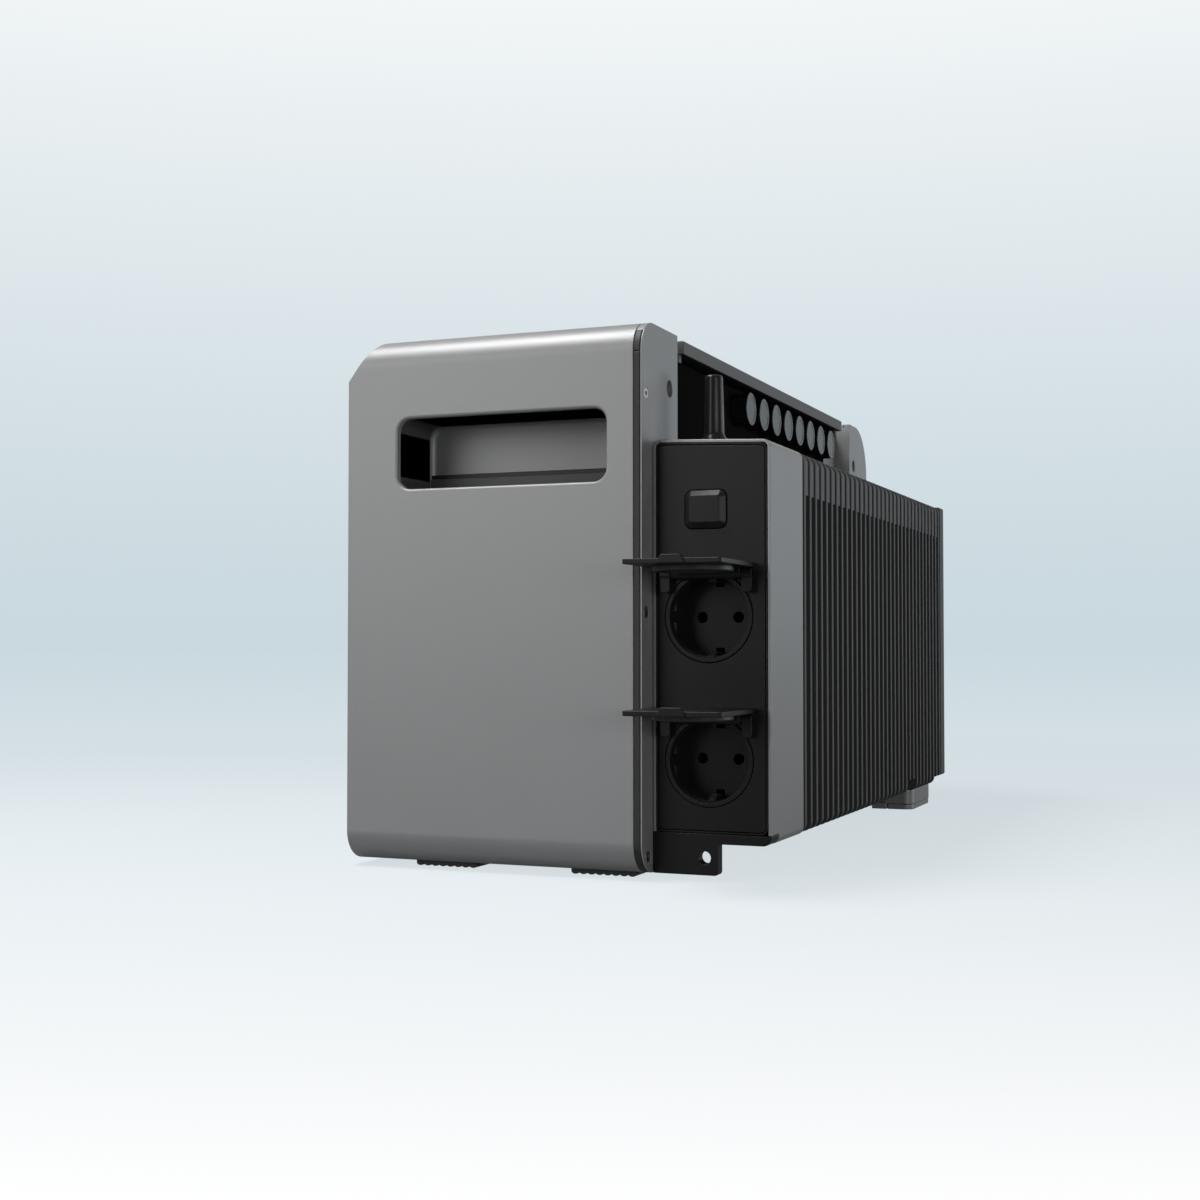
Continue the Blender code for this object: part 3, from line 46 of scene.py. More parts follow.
# End covers: two shells of painted sheet steel, bent over at the top and bottom, with the top left
# corner clipped and a handle opening pressed into the face. They carry everything else, so the datum
# of the whole file is on the front one: right edge, front face, underside. Sizes are in millimetres.
cover_low, cover_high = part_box("front_end_cover")
datum = np.array((cover_high[0], cover_low[1], cover_low[2]))
case_width, case_height, case_length, cover_depth = 160.4, 271.8, 472.5, 52.0
front_bend, rear_bend = 15.8, 34.0
clip_across, clip_down = 15.9, 21.8
clip_level = case_height - clip_down
handle_right, handle_left, handle_low, handle_high, handle_radius = -14.4, -130.9, 192.5, 229.0, 7.0
axis_order = {"X": (2, 0, 1), "Y": (0, 2, 1), "Z": (0, 1, 2)}


def rounded_outline(corners, steps=8):
    """A closed outline whose corners (across, up, radius) become arcs that touch both their sides.

    The arc's centre lies on the corner's bisector, radius / sin(half the corner) away. The normal turns
    evenly from one side's normal to the next, and the arc is centre + radius * normal, or minus it
    in a hollow corner. Corners run anticlockwise. Rows are across, up and the outward normal.
    """
    corners = np.asarray(corners, float)
    here, radius = corners[:, :2], corners[:, 2]
    back = np.roll(here, 1, 0) - here
    ahead = np.roll(here, -1, 0) - here
    back /= np.linalg.norm(back, axis=1, keepdims=True)
    ahead /= np.linalg.norm(ahead, axis=1, keepdims=True)
    first = np.arctan2(back[:, 0], -back[:, 1])
    turn = np.arctan2(-ahead[:, 0], ahead[:, 1]) - first
    turn = (turn + np.pi) % (2 * np.pi) - np.pi
    bisector = back + ahead
    bisector /= np.linalg.norm(bisector, axis=1, keepdims=True)
    centre = here + bisector * (radius / np.cos(turn / 2))[:, None]
    angle = first[:, None] + turn[:, None] * np.linspace(0, 1, steps + 1)
    normal = np.stack((np.cos(angle), np.sin(angle)), -1)
    points = centre[:, None] + (np.sign(turn) * radius)[:, None, None] * normal
    return np.concatenate((points, normal), -1).reshape(-1, 4)


def circle_outline(centre, radius, count=48):
    """A circle: centre + radius * (cos, sin), with its normals pointing out."""
    angle = np.linspace(0, 2 * np.pi, count, endpoint=False)
    normal = np.stack((np.cos(angle), np.sin(angle)), -1)
    return np.concatenate((np.asarray(centre) + radius * normal, normal), -1)


def box_outline(left, low, right, high, radius, steps=8):
    """A rectangle with four equal corner radii."""
    corners = [(left, low), (right, low), (right, high), (left, high)]
    return rounded_outline([(*corner, radius) for corner in corners], steps)


def as_hole(outline):
    """The same line run backwards, with its normals turned into the opening."""
    return outline[::-1] * (1, 1, -1, -1)


def edge_section(start, stop, start_edge, stop_edge=None, steps=4):
    """Section of a plate's edge: a quarter round, the straight side, and a quarter round.

    Rows are the inset edge * (1 - cos), the place along the axis, edge * (1 - sin) in from the face,
    and the lean of the normal towards the axis, from -1 on the first face to 1 on the last.
    """
    stop_edge = start_edge if stop_edge is None else stop_edge
    way = np.sign(stop - start)
    angle = np.linspace(np.pi / 2, 0, steps + 1)
    inset, rise, lean = 1 - np.cos(angle), 1 - np.sin(angle), np.sin(angle)
    first = np.stack((start_edge * inset, start + way * start_edge * rise, -way * lean), -1)
    last = np.stack((stop_edge * inset, stop - way * stop_edge * rise, way * lean), -1)
    return np.concatenate((first, last[::-1]))


def rows_of(outline, axis, section):
    """An outline carried along an axis: each point moves against its normal by the inset.

    Gives rows of points, of normals tilted by the lean, and of an edge mask, 2 * sin * cos of the tilt.
    """
    inset, place, lean = np.asarray(section, float).T[:, :, None]
    flat = np.sqrt(np.clip(1 - lean**2, 0, 1))
    at, out = outline[None, :, :2], outline[None, :, 2:]
    spot = at - inset[..., None] * out
    whole = np.ones((1, len(outline)))
    points = np.concatenate((spot, (place * whole)[..., None]), -1)
    normals = np.concatenate((out * flat[..., None], (lean * whole)[..., None]), -1)
    edge = 2 * np.abs(lean) * flat * whole
    order = list(axis_order[axis])
    return np.concatenate((points[..., order], normals[..., order], edge[..., None]), -1)


def skin(rows, closed=False):
    """The wall between rows of points: one face from each point to the next, along and across."""
    count, around = rows.shape[:2]
    index = np.arange(count * around).reshape(count, around)
    below, above = (index, np.roll(index, -1, 0)) if closed else (index[:-1], index[1:])
    faces = np.stack((below, np.roll(below, -1, 1), np.roll(above, -1, 1), above), -1)
    return rows.reshape(-1, 7), faces.reshape(-1, 4)


def filled(loops, normal):
    """The flat face inside the first loop of points and outside the others, cut into triangles."""
    normal = np.asarray(normal, float)
    keep = np.argsort(np.abs(normal))[:2]
    flat = [np.pad(loop[:, keep], ((0, 0), (0, 1))).tolist() for loop in loops]
    points = np.concatenate([loop[:, :3] for loop in loops])
    rest = np.zeros((len(points), 1))
    points = np.concatenate((points, normal + 0 * points, rest), -1)
    return points, np.array(tessellate_polygon(flat))


def plate(outline, axis, section, holes=(), blind=()):
    """A flat piece: its outline carried along an axis, closed by two flat faces.

    Holes are outlines with sections of their own. A blind one starts at the first face and has a floor.
    """
    section = np.asarray(section, float)
    walls = [rows_of(outline, axis, section)]
    walls += [rows_of(as_hole(hole), axis, own) for hole, own in holes]
    pits = [rows_of(as_hole(hole), axis, own) for hole, own in blind]
    way = np.array(axis_order[axis]) == 2
    sign = np.sign(section[-1, 1] - section[0, 1])
    patches = [skin(wall) for wall in walls + pits]
    patches.append(filled([wall[0] for wall in walls + pits], -sign * way))
    patches.append(filled([wall[-1] for wall in walls], sign * way))
    patches += [filled([pit[-1]], -sign * way) for pit in pits]
    return patches


def without_repeats(faces, weld):
    """Faces that use no welded point twice: a four-sided one with a closed side becomes a triangle."""
    same = weld[faces] == np.roll(weld[faces], -1, 1)
    kept = [faces[~same.any(1)]]
    if faces.shape[1] == 4:
        for side in range(4):
            kept.append(np.delete(faces[same[:, side] & (same.sum(1) == 1)], side, 1))
    return kept


def add_piece(name, patches, material, nodes=(), body="case"):
    """Puts patches, in millimetres from the datum, into one mesh that rides on a body.

    Faces are turned to agree with their normals, equal points are welded, and every face corner keeps
    the exact normal of its own patch. The edge mask goes along for the wear in the materials.
    """
    starts = np.cumsum([0] + [len(points) for points, faces in patches])
    points = np.concatenate([points for points, faces in patches])
    corners = []
    for start, (own, faces) in zip(starts, patches):
        side = own[:, :3][faces]
        facing = np.cross(side[:, -2] - side[:, 0], side[:, -1] - side[:, 1])
        if faces.shape[1] == 3:
            facing = np.cross(side[:, 1] - side[:, 0], side[:, 2] - side[:, 0])
        wrong = np.einsum("ij,ij->i", facing, own[:, 3:6][faces].sum(1)) < 0
        faces = np.where(wrong[:, None], faces[:, ::-1], faces) + start
        corners.append(faces)
    place, first, weld = np.unique(
        np.round(points[:, :3], 4), axis=0, return_index=True, return_inverse=True
    )
    weld = weld.reshape(-1)
    mesh = bpy.data.meshes.new(name)
    whole = [sound for faces in corners for sound in without_repeats(faces, weld)]
    listed = [face for faces in whole for face in weld[faces].tolist()]
    mesh.from_pydata((datum + place * 0.001).tolist(), [], listed, shade_flat=False)
    mask = mesh.attributes.new("edge", "FLOAT", "POINT")
    mask.data.foreach_set("value", points[first, 6])
    normals = np.concatenate([points[faces.reshape(-1), 3:6] for faces in whole])
    normals /= np.linalg.norm(normals, axis=1, keepdims=True)
    mesh.normals_split_custom_set(normals.tolist())
    mesh.materials.append(material)
    piece = bpy.data.objects.new(name, mesh)
    scene.collection.objects.link(piece)
    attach(piece, body)
    if nodes:
        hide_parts(*nodes)
    return piece


def new_group(name, inputs, outputs):
    """An empty shader node group with named number inputs and outputs."""
    group = bpy.data.node_groups.new(name, "ShaderNodeTree")
    for label, value in inputs:
        socket = group.interface.new_socket(label, in_out="INPUT", socket_type="NodeSocketFloat")
        socket.default_value = value
    for label in outputs:
        group.interface.new_socket(label, in_out="OUTPUT", socket_type="NodeSocketFloat")
    return group, group.nodes.new("NodeGroupInput"), group.nodes.new("NodeGroupOutput")


def feed(tree, socket, value):
    """Links an input to another socket, or sets it to a plain value."""
    if isinstance(value, bpy.types.NodeSocket):
        tree.links.new(value, socket)
    else:
        socket.default_value = value


def math_node(tree, operation, first, second):
    """A Math node fed by sockets or plain numbers."""
    node = tree.nodes.new("ShaderNodeMath")
    node.operation = operation
    feed(tree, node.inputs[0], first)
    feed(tree, node.inputs[1], second)
    return node.outputs[0]


def map_range(tree, value, source, target):
    """A Map Range node from one span of numbers to another, held within the second."""
    node = tree.nodes.new("ShaderNodeMapRange")
    node.inputs["From Min"].default_value, node.inputs["From Max"].default_value = source
    node.inputs["To Min"].default_value, node.inputs["To Max"].default_value = target
    tree.links.new(value, node.inputs["Value"])
    return node.outputs[0]


def noise_node(tree, vector, scale, detail=2.0):
    """A noise texture on a vector; its scale is a number or a socket."""
    node = tree.nodes.new("ShaderNodeTexNoise")
    tree.links.new(vector, node.inputs["Vector"])
    feed(tree, node.inputs["Scale"], scale)
    node.inputs["Detail"].default_value = detail
    return node.outputs["Fac"]


# Surface grain: fine noise for the height, and a broad cloud of it for the tone.
grain_group, given, result = new_group("surface_grain", [("Scale", 1500.0)], ["Height", "Tone"])
object_place = grain_group.nodes.new("ShaderNodeTexCoord").outputs["Object"]
fine = noise_node(grain_group, object_place, given.outputs["Scale"])
broad = noise_node(grain_group, object_place, 14.0, 4.0)
speck = math_node(grain_group, "MULTIPLY", fine, 0.45)
cloud = math_node(grain_group, "MULTIPLY", broad, 0.55)
grain_group.links.new(fine, result.inputs["Height"])
grain_group.links.new(math_node(grain_group, "ADD", speck, cloud), result.inputs["Tone"])

# Edge wear: the mesh's edge mask, broken up by noise so that only parts of an edge are rubbed.
wear_group, given, result = new_group("edge_wear", [("Amount", 0.5)], ["Mask"])
edge_mask = wear_group.nodes.new("ShaderNodeAttribute")
edge_mask.attribute_name = "edge"
object_place = wear_group.nodes.new("ShaderNodeTexCoord").outputs["Object"]
patchy = noise_node(wear_group, object_place, 90.0, 5.0)
patchy = math_node(wear_group, "MULTIPLY_ADD", patchy, 2.2)
patchy.node.inputs[2].default_value = -0.55
patchy.node.use_clamp = True
worn = math_node(wear_group, "MULTIPLY", edge_mask.outputs["Fac"], patchy)
worn = math_node(wear_group, "MULTIPLY", worn, given.outputs["Amount"])
wear_group.links.new(worn, result.inputs["Mask"])

# Dust: a little of it settles on surfaces that face up.
dust_group, given, result = new_group("settled_dust", [("Amount", 0.1)], ["Mask"])
facing = dust_group.nodes.new("ShaderNodeSeparateXYZ")
dust_group.links.new(dust_group.nodes.new("ShaderNodeNewGeometry").outputs["Normal"], facing.inputs[0])
upward = math_node(dust_group, "POWER", math_node(dust_group, "MAXIMUM", facing.outputs["Z"], 0.0), 3.0)
object_place = dust_group.nodes.new("ShaderNodeTexCoord").outputs["Object"]
drift = noise_node(dust_group, object_place, 35.0, 6.0)
settled = math_node(dust_group, "MULTIPLY", upward, drift)
settled = math_node(dust_group, "MULTIPLY", settled, given.outputs["Amount"])
dust_group.links.new(settled, result.inputs["Mask"])


def colour_mix(tree, factor, first, second):
    """A colour Mix node; colours are sockets or plain values."""
    node = tree.nodes.new("ShaderNodeMix")
    node.data_type = "RGBA"
    tree.links.new(factor, node.inputs["Factor"])
    for label, value in (("A", first), ("B", second)):
        socket = [item for item in node.inputs if item.name == label and item.type == "RGBA"][0]
        feed(tree, socket, value if isinstance(value, bpy.types.NodeSocket) else (*value, 1))
    return [item for item in node.outputs if item.type == "RGBA"][0]


def finish(name, dark, light, bare, rough, metallic, scale, bump, wear, dust, specular=0.5):
    """A material whose colour and roughness drift with the grain, rubbed bare on edges, with some dust.

    The grain's tone mixes the two colours and spreads the roughness between its two values. The wear
    mask brings out the bare colour, and the dust mask a pale grey. The grain's height drives a bump.
    """
    material = bpy.data.materials.new(name)
    material.use_nodes = True
    tree = material.node_tree
    shader = tree.nodes["Principled BSDF"]
    grain, rub, dusty = (tree.nodes.new("ShaderNodeGroup") for _ in range(3))
    grain.node_tree, rub.node_tree, dusty.node_tree = grain_group, wear_group, dust_group
    grain.inputs["Scale"].default_value = scale
    rub.inputs["Amount"].default_value = wear
    dusty.inputs["Amount"].default_value = dust
    colour = colour_mix(tree, grain.outputs["Tone"], dark, light)
    colour = colour_mix(tree, rub.outputs["Mask"], colour, bare)
    colour = colour_mix(tree, dusty.outputs["Mask"], colour, (0.42, 0.41, 0.39))
    tree.links.new(colour, shader.inputs["Base Color"])
    spread = map_range(tree, grain.outputs["Tone"], (0.0, 1.0), rough)
    tree.links.new(spread, shader.inputs["Roughness"])
    height = tree.nodes.new("ShaderNodeBump")
    height.inputs["Strength"].default_value = bump
    height.inputs["Distance"].default_value = 0.0001
    tree.links.new(grain.outputs["Height"], height.inputs["Height"])
    tree.links.new(height.outputs[0], shader.inputs["Normal"])
    shader.inputs["Metallic"].default_value = metallic
    shader.inputs["Specular IOR Level"].default_value = specular
    return material


grey_paint = finish(
    "grey_paint", (0.205, 0.206, 0.208), (0.250, 0.251, 0.254), (0.38, 0.38, 0.38),
    (0.34, 0.44), 0.10, 2600.0, 0.10, 0.35, 0.02,
)


def at_level(outline, level):
    """The outline with points added where it crosses a height, in between its neighbours."""
    after = np.roll(outline, -1, 0)
    crossed = np.flatnonzero((outline[:, 1] - level) * (after[:, 1] - level) < 0)
    share = (level - outline[crossed, 1]) / (after[crossed, 1] - outline[crossed, 1])
    added = outline[crossed] + share[:, None] * (after[crossed] - outline[crossed])
    added[:, 2:] /= np.linalg.norm(added[:, 2:], axis=1, keepdims=True)
    return np.insert(outline, crossed + 1, added, axis=0)


handle_outline = box_outline(handle_left, handle_low, handle_right, handle_high, handle_radius, 10)
handle_mouth = 1.5
tub_room = 2.2
tub_depth = 41.5
shell_back = 51.8
clip_normal = np.array((-clip_down, 0, clip_across)) / np.hypot(clip_down, clip_across)


def depth_at(end, depth):
    """Y at a depth in from one end of the case."""
    return depth if end == "front" else case_length - depth


def span_at(end, near, far):
    """Two depths in from one end of the case, as Y from the lower to the higher."""
    return sorted((depth_at(end, near), depth_at(end, far)))


def toward(end, corners):
    """Corners (depth, height, radius) from one end of the case, anticlockwise at either end."""
    if end == "front":
        return corners
    return [(case_length - depth, height, radius) for depth, height, radius in corners[::-1]]


def end_cover(end):
    """A cover as a closed shell: its side view carried from the right edge to the left.

    Above the clip's foot the left end moves in by clip_across / clip_down for each step up. The flat of
    the face is left out of that skin and filled round the handle opening, whose edge rolls inwards.
    """
    face, way, bend = (0.0, 1, front_bend) if end == "front" else (case_length, -1, rear_bend)
    side = rounded_outline(toward(end, [
        (0, 0, front_bend), (shell_back, 0, 1.0), (shell_back, case_height, 1.0), (0, case_height, bend),
    ]), 20)
    side = at_level(side, clip_level)
    rows = rows_of(side, "X", edge_section(-case_width, 0, 0.9, 0.4, 5))
    left = rows[:6]
    over = np.maximum(left[..., 2] - clip_level, 0)
    left[..., 0] += over * clip_across / clip_down
    tilt = np.linalg.norm(left[..., 3:4], axis=-1, keepdims=True)
    clipped = left[..., 3:6] * (0, 1, 1) + tilt * clip_normal
    left[..., 3:6] = np.where(over[..., None] > 0, clipped, left[..., 3:6])
    points, faces = skin(rows)
    flat = np.abs(points[:, 1] - face) < 1e-6
    flat &= np.abs(points[:, 6]) < 1e-6
    keep = ~flat[faces].all(1)
    outward = (0, -way, 0)
    flat_side = np.flatnonzero(np.abs(side[:, 2] - outward[1]) < 1e-6)
    flat_side = flat_side[np.argsort(side[flat_side, 1])]
    border = np.concatenate((rows[6][flat_side], rows[5][flat_side][::-1]))
    lip = rows_of(as_hole(handle_outline), "Y", edge_section(face, face + way * 2.5, handle_mouth, 0.3))
    room = [(tub_room, face + way * 2.6, 0), (tub_room, face + way * tub_depth, 0)]
    hollow = rows_of(as_hole(handle_outline), "Y", room)
    low = rows[0][rows[0][:, 2] <= clip_level + 1e-6]
    high = rows[0][rows[0][:, 2] >= clip_level - 1e-6]
    return [
        (points, faces[keep]),
        filled([border, lip[0]], outward),
        skin(np.concatenate((lip, hollow))),
        filled([hollow[-1]], outward),
        filled([low], (-1, 0, 0)),
        filled([high], clip_normal),
        filled([rows[-1]], (1, 0, 0)),
    ]


for end in ("front", "rear"):
    add_piece(f"{end}_cover_shell", end_cover(end), grey_paint, [f"{end}_end_cover"])

# Handle pockets: a moulded tub behind each opening, painted like the cover and glued in from the back.
# A thin black sheet over its sides is painted shade: it darkens the walls where little light gets in.
# A dark ledge runs along the foot of its back wall, and a black rubber strip is laid on top of that.
tub_wall, tub_fillet, pocket_back = 1.9, 3.0, 38.7
ledge_front, ledge_top, strip_top, shade_sheet_wall = 35.8, 200.9, 203.2, 0.35


def handle_pocket(end):
    """A block with a blind hollow: the opening's outline carried in to the back wall with a soft corner."""
    way, face = (1, 0.0) if end == "front" else (-1, case_length)
    mouth, stop = face + way * 2.8, face + way * 40.8
    outside = box_outline(
        handle_left - tub_wall, handle_low - tub_wall, handle_right + tub_wall, handle_high + tub_wall, 3.0
    )
    turn = np.linspace(0, np.pi / 2, 7)
    floor = face + way * (pocket_back - tub_fillet * (1 - np.sin(turn)))
    deep = np.stack((tub_fillet * (np.cos(turn) - 1), floor, -way * np.sin(turn)), -1)
    cavity = np.concatenate((edge_section(mouth, mouth + way * 8, 0.4)[:5], deep))
    return plate(outside, "Y", edge_section(mouth, stop, 0.4), blind=[(handle_outline, cavity)])


def pocket_bar(end, low, high, front, edge):
    """A bar across the foot of the pocket's back wall, between two heights."""
    across = box_outline(handle_left + 0.4, low, handle_right - 0.4, high, edge)
    return plate(across, "Y", edge_section(depth_at(end, front), depth_at(end, pocket_back + 0.3), edge))


dark_paint = finish(
    "dark_paint", (0.070, 0.070, 0.072), (0.092, 0.092, 0.094), (0.22, 0.22, 0.22),
    (0.46, 0.58), 0.05, 2600.0, 0.12, 0.4, 0.02, specular=0.35,
)
black_rubber = finish(
    "black_rubber", (0.010, 0.010, 0.010), (0.018, 0.018, 0.018), (0.030, 0.030, 0.030),
    (0.45, 0.62), 0.0, 1500.0, 0.25, 0.3, 0.03, specular=0.4,
)
# The matte black is the connector strip's own colour, and it also paints shade: the black sheets in the
# handle pockets and over the bay's wall.
matte_black = finish(
    "matte_black", (0.0070, 0.0070, 0.0071), (0.0115, 0.0115, 0.0117), (0.020, 0.020, 0.020),
    (0.90, 0.98), 0.0, 1500.0, 0.20, 0.2, 0.0, specular=0.0,
)
for end in ("front", "rear"):
    add_piece(f"{end}_handle_tub", handle_pocket(end), grey_paint, [f"{end}_handle_pocket"])
    # Painted shade: a thin black sheet over the tub's side walls, for the shade inside the pocket.
    shade_sheet = edge_section(depth_at(end, 3.4), depth_at(end, pocket_back - 0.2), 0.1)
    shade_lining = plate(handle_outline, "Y", shade_sheet, [(handle_outline, shade_sheet + (shade_sheet_wall, 0, 0))])
    add_piece(f"{end}_handle_painted_shade", shade_lining, matte_black)
    ledge = pocket_bar(end, handle_low - 0.3, ledge_top, ledge_front, 0.5)
    add_piece(f"{end}_handle_ledge", ledge, dark_paint)
    strip = pocket_bar(end, ledge_top - 0.2, strip_top, ledge_front + 1.0, 0.4)
    add_piece(f"{end}_handle_strip", strip, black_rubber)

# Edge seals: black moulded rubber, laid between each cover and its side flange, part of the way up the
# top bend, down the outer edge and round under the bottom. The flange screws squeeze them flat.
seal_span = (0.3, 3.5)
seal_width, seal_end = 10.0, 50.9
ends = (("front", front_bend), ("rear", rear_bend))
band_depth, seal_turn = 2.5, 42.0


def bend_band(end, bend, first, last):
    """A band of the top bend between two angles up from the face: two arcs about the bend's centre."""
    angle = np.radians(np.linspace(first, last, 20))
    out = np.stack((-np.cos(angle), np.sin(angle)), -1)
    middle = np.array((bend, case_height - bend))
    outer = np.concatenate((middle + bend * out, out), -1)
    inner = np.concatenate((middle + (bend - band_depth) * out, -out), -1)
    line = np.concatenate((outer, inner[::-1]))
    return line if end == "front" else line * (-1, 1, -1, 1) + (case_length, 0, 0, 0)


for end, bend in ends:
    top = case_height - bend - 0.3
    strip = rounded_outline(toward(end, [
        (0, 0, front_bend), (seal_end, 0, 0.8), (seal_end, seal_width, 0.8),
        (seal_width, seal_width, front_bend - seal_width), (seal_width, top, 0.8), (0, top, 0.8),
    ]), 14)
    seal = plate(strip, "X", edge_section(*seal_span, 0.45))
    seal += plate(bend_band(end, bend, 0, seal_turn), "X", edge_section(*seal_span, 0.45))
    add_piece(f"{end}_seal_strip", seal, black_rubber, [f"{end}_edge_seal"])

# Side flanges: thin painted plates that close each cover's right side. The back edge is folded in,
# the top is welded along the bend, a bush is set in the round eye, and three countersunk screws hold
# each one to its cover.
flange_left, flange_right, flange_fold, flange_leaf = 3.8, 4.6, 0.8, (-5.7, 2.8, 4.3, 269.0)
eye_radius, eye_depth, eye_level = 4.25, 40.0, 242.5
seat_radius, head_radius = 2.3, 2.8


def screw_spots(end, bend):
    """Y and Z of an end's three flange screws."""
    spots = [(6.2, case_height - bend - 20.4), (6.2, 128.0), (8.5, 8.5)]
    return [(depth_at(end, depth), height) for depth, height in spots]


def side_flange(end, bend):
    """The plate with its eye and countersinks, the folded edge, and the strip along the top bend."""
    sheet = rounded_outline(toward(end, [
        (0, 0, front_bend), (cover_depth, 0, 0.5), (cover_depth, case_height, 0.5), (0, case_height, bend),
    ]), 20)
    eye = circle_outline((depth_at(end, eye_depth), eye_level), eye_radius)
    holes = [(eye, edge_section(flange_left, flange_right, 0.2, 0.35))]
    countersink = [(0, flange_left, 0.2), (head_radius + 0.3 - seat_radius, flange_right, 0.7)]
    holes += [(circle_outline(spot, seat_radius, 28), countersink) for spot in screw_spots(end, bend)]
    patches = plate(sheet, "X", edge_section(flange_left, flange_right, 0.25), holes)
    fold = span_at(end, cover_depth - flange_fold, cover_depth)
    patches += plate(box_outline(*flange_leaf, 0.5), "Y", edge_section(*fold, 0.25))
    span = edge_section(seal_span[0], 4.0, 0.25)
    patches += plate(bend_band(end, bend, seal_turn + 0.5, 90), "X", span)
    near, far = span_at(end, bend, cover_depth - flange_fold)
    flat = box_outline(near, case_height - band_depth, far, case_height, 0.05, 2)
    patches += plate(flat, "X", span)
    bush = circle_outline((depth_at(end, eye_depth), eye_level), eye_radius + 1.2)
    bush_edge = edge_section(0.35, 4.0, 0.1)
    return patches + plate(bush, "X", bush_edge, [(eye, bush_edge)])


for end, bend in ends:
    flange = side_flange(end, bend)
    add_piece(f"{end}_flange_plate", flange, grey_paint, [f"{end}_side_flange"])

# Flange screws: plated steel countersunk screws with a hexagon socket, three at each end, driven flush
# into the flanges' countersinks.
bright_steel = finish(
    "bright_steel", (0.50, 0.50, 0.49), (0.66, 0.66, 0.65), (0.75, 0.75, 0.74),
    (0.22, 0.38), 1.0, 2200.0, 0.08, 0.3, 0.02,
)
hexagon = np.radians(np.arange(0, 360, 60))
socket_hex = np.stack((1.25 * np.cos(hexagon), 1.25 * np.sin(hexagon), 0.12 + 0 * hexagon), -1)
head_section = [
    (0.15, 4.55, 1.0), (0.05, 4.5, 0.7), (0.0, 4.4, 0.1), (0.75, 3.7, -0.6), (1.3, 3.6, -0.2),
    (1.3, -4.1, 0.0), (1.45, -4.3, -1.0),
]
for end, bend in ends:
    for number, spot in enumerate(screw_spots(end, bend), 1):
        hollow = rounded_outline(socket_hex + (*spot, 0), 2)
        pit = [(0.06, 4.55, 0.7), (0.0, 4.45, 0.0), (0.0, 3.4, 0.0)]
        screw = plate(circle_outline(spot, head_radius, 32), "X", head_section, blind=[(hollow, pit)])
        name = f"{end}_flange_screw_{number}"
        add_piece(f"{name}_head", screw, bright_steel, [name])

# Battery: prismatic cells in a blue film on a plastic tray, the management board with its busbars on
# top, and the cable to the inverter, all shut in a folded sheet housing between the end covers.
cell_film = finish(
    "cell_film", (0.045, 0.10, 0.22), (0.075, 0.14, 0.30), (0.10, 0.18, 0.36),
    (0.30, 0.45), 0.0, 700.0, 0.05, 0.2, 0.02,
)
board_lacquer = finish(
    "board_lacquer", (0.020, 0.110, 0.045), (0.036, 0.165, 0.072), (0.45, 0.36, 0.14),
    (0.35, 0.55), 0.0, 900.0, 0.10, 0.2, 0.02,
)
cable_sheath = finish(
    "cable_sheath", (0.34, 0.022, 0.020), (0.44, 0.036, 0.030), (0.50, 0.08, 0.07),
    (0.40, 0.55), 0.0, 1200.0, 0.10, 0.2, 0.02,
)
black_plastic = finish(
    "black_plastic", (0.0085, 0.0085, 0.0087), (0.0130, 0.0130, 0.0133), (0.040, 0.040, 0.041),
    (0.27, 0.37), 0.0, 2400.0, 0.12, 0.40, 0.02, specular=0.12,
)


def dress(material, *nodes):
    """Gives CAD nodes whose shape is right a finish, through their material slots."""
    for node in nodes:
        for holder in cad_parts[node].material_slots:
            holder.material = material


dress(cell_film, "battery_cells")
dress(board_lacquer, "battery_manager_board", "inverter_board")
dress(cable_sheath, "battery_cable")
dress(black_plastic, "cell_tray", "button_switch")
dress(grey_paint, "battery_housing")

# Top lid: a dark painted pan over the housing and the connector bay, its rim turned down all round,
# with a small lug under each right-hand corner that it is screwed down by.
lid_left, lid_right, lid_front, lid_rear = -142.0, 4.6, 61.5, 397.8
lid_low, lid_high, lid_rim, lid_plate = 264.0, 271.0, 2.0, 2.5


lid_edge = box_outline(lid_left, lid_front, lid_right, lid_rear, 0.5)
lid_inside = box_outline(
    lid_left + lid_rim, lid_front + lid_rim, lid_right - lid_rim, lid_rear - lid_rim, 0.4
)
pan = edge_section(lid_low, lid_high - lid_plate, 0.3)[:5]
pan = np.concatenate((pan, [(0, lid_high - lid_plate, 0)]))
lid = plate(lid_edge, "Z", edge_section(lid_low, lid_high, 0.3, 0.9), blind=[(lid_inside, pan)])
for start in (lid_front + 1, lid_rear - 6):
    lug = box_outline(lid_right - 6, start, lid_right - 3.2, start + 5, 0.6)
    lid += plate(lug, "Z", edge_section(lid_low - 4, lid_low + 2, 0.4))
add_piece("lid_pan", lid, dark_paint, ["top_lid"])

# Connector block: a black moulded strip let into the housing's wall, with a threaded barrel for each
# cable connector. Each barrel is shut by a fluted screw cap that turns on it.
block_front, block_rear, block_low, block_high = 60.0, 386.2, 241.0, 261.0
# After the bay's face come the front, foot and top of a black sheet of painted shade on the bay wall.
bay_face, shade_sheet_front, shade_sheet_low, shade_sheet_high = -5.75, 52.4, 190.0, 263.6
cap_first, cap_pitch, cap_level, cap_count = 181.5, 26.6, 251.0, 8
cap_start, cap_stop, cap_radius, flute_count, flute_depth = -5.4, 4.6, 9.75, 14, 0.75
block = plate(
    box_outline(block_front, block_low, block_rear, block_high, 6), "X", edge_section(-18, bay_face, 0.5)
)
for number in range(cap_count):
    barrel = circle_outline((cap_first + number * cap_pitch, cap_level), 7.0, 40)
    block += plate(barrel, "X", edge_section(bay_face - 1, 2.2, 0.4))
add_piece("connector_strip", block, matte_black, ["connector_block"])
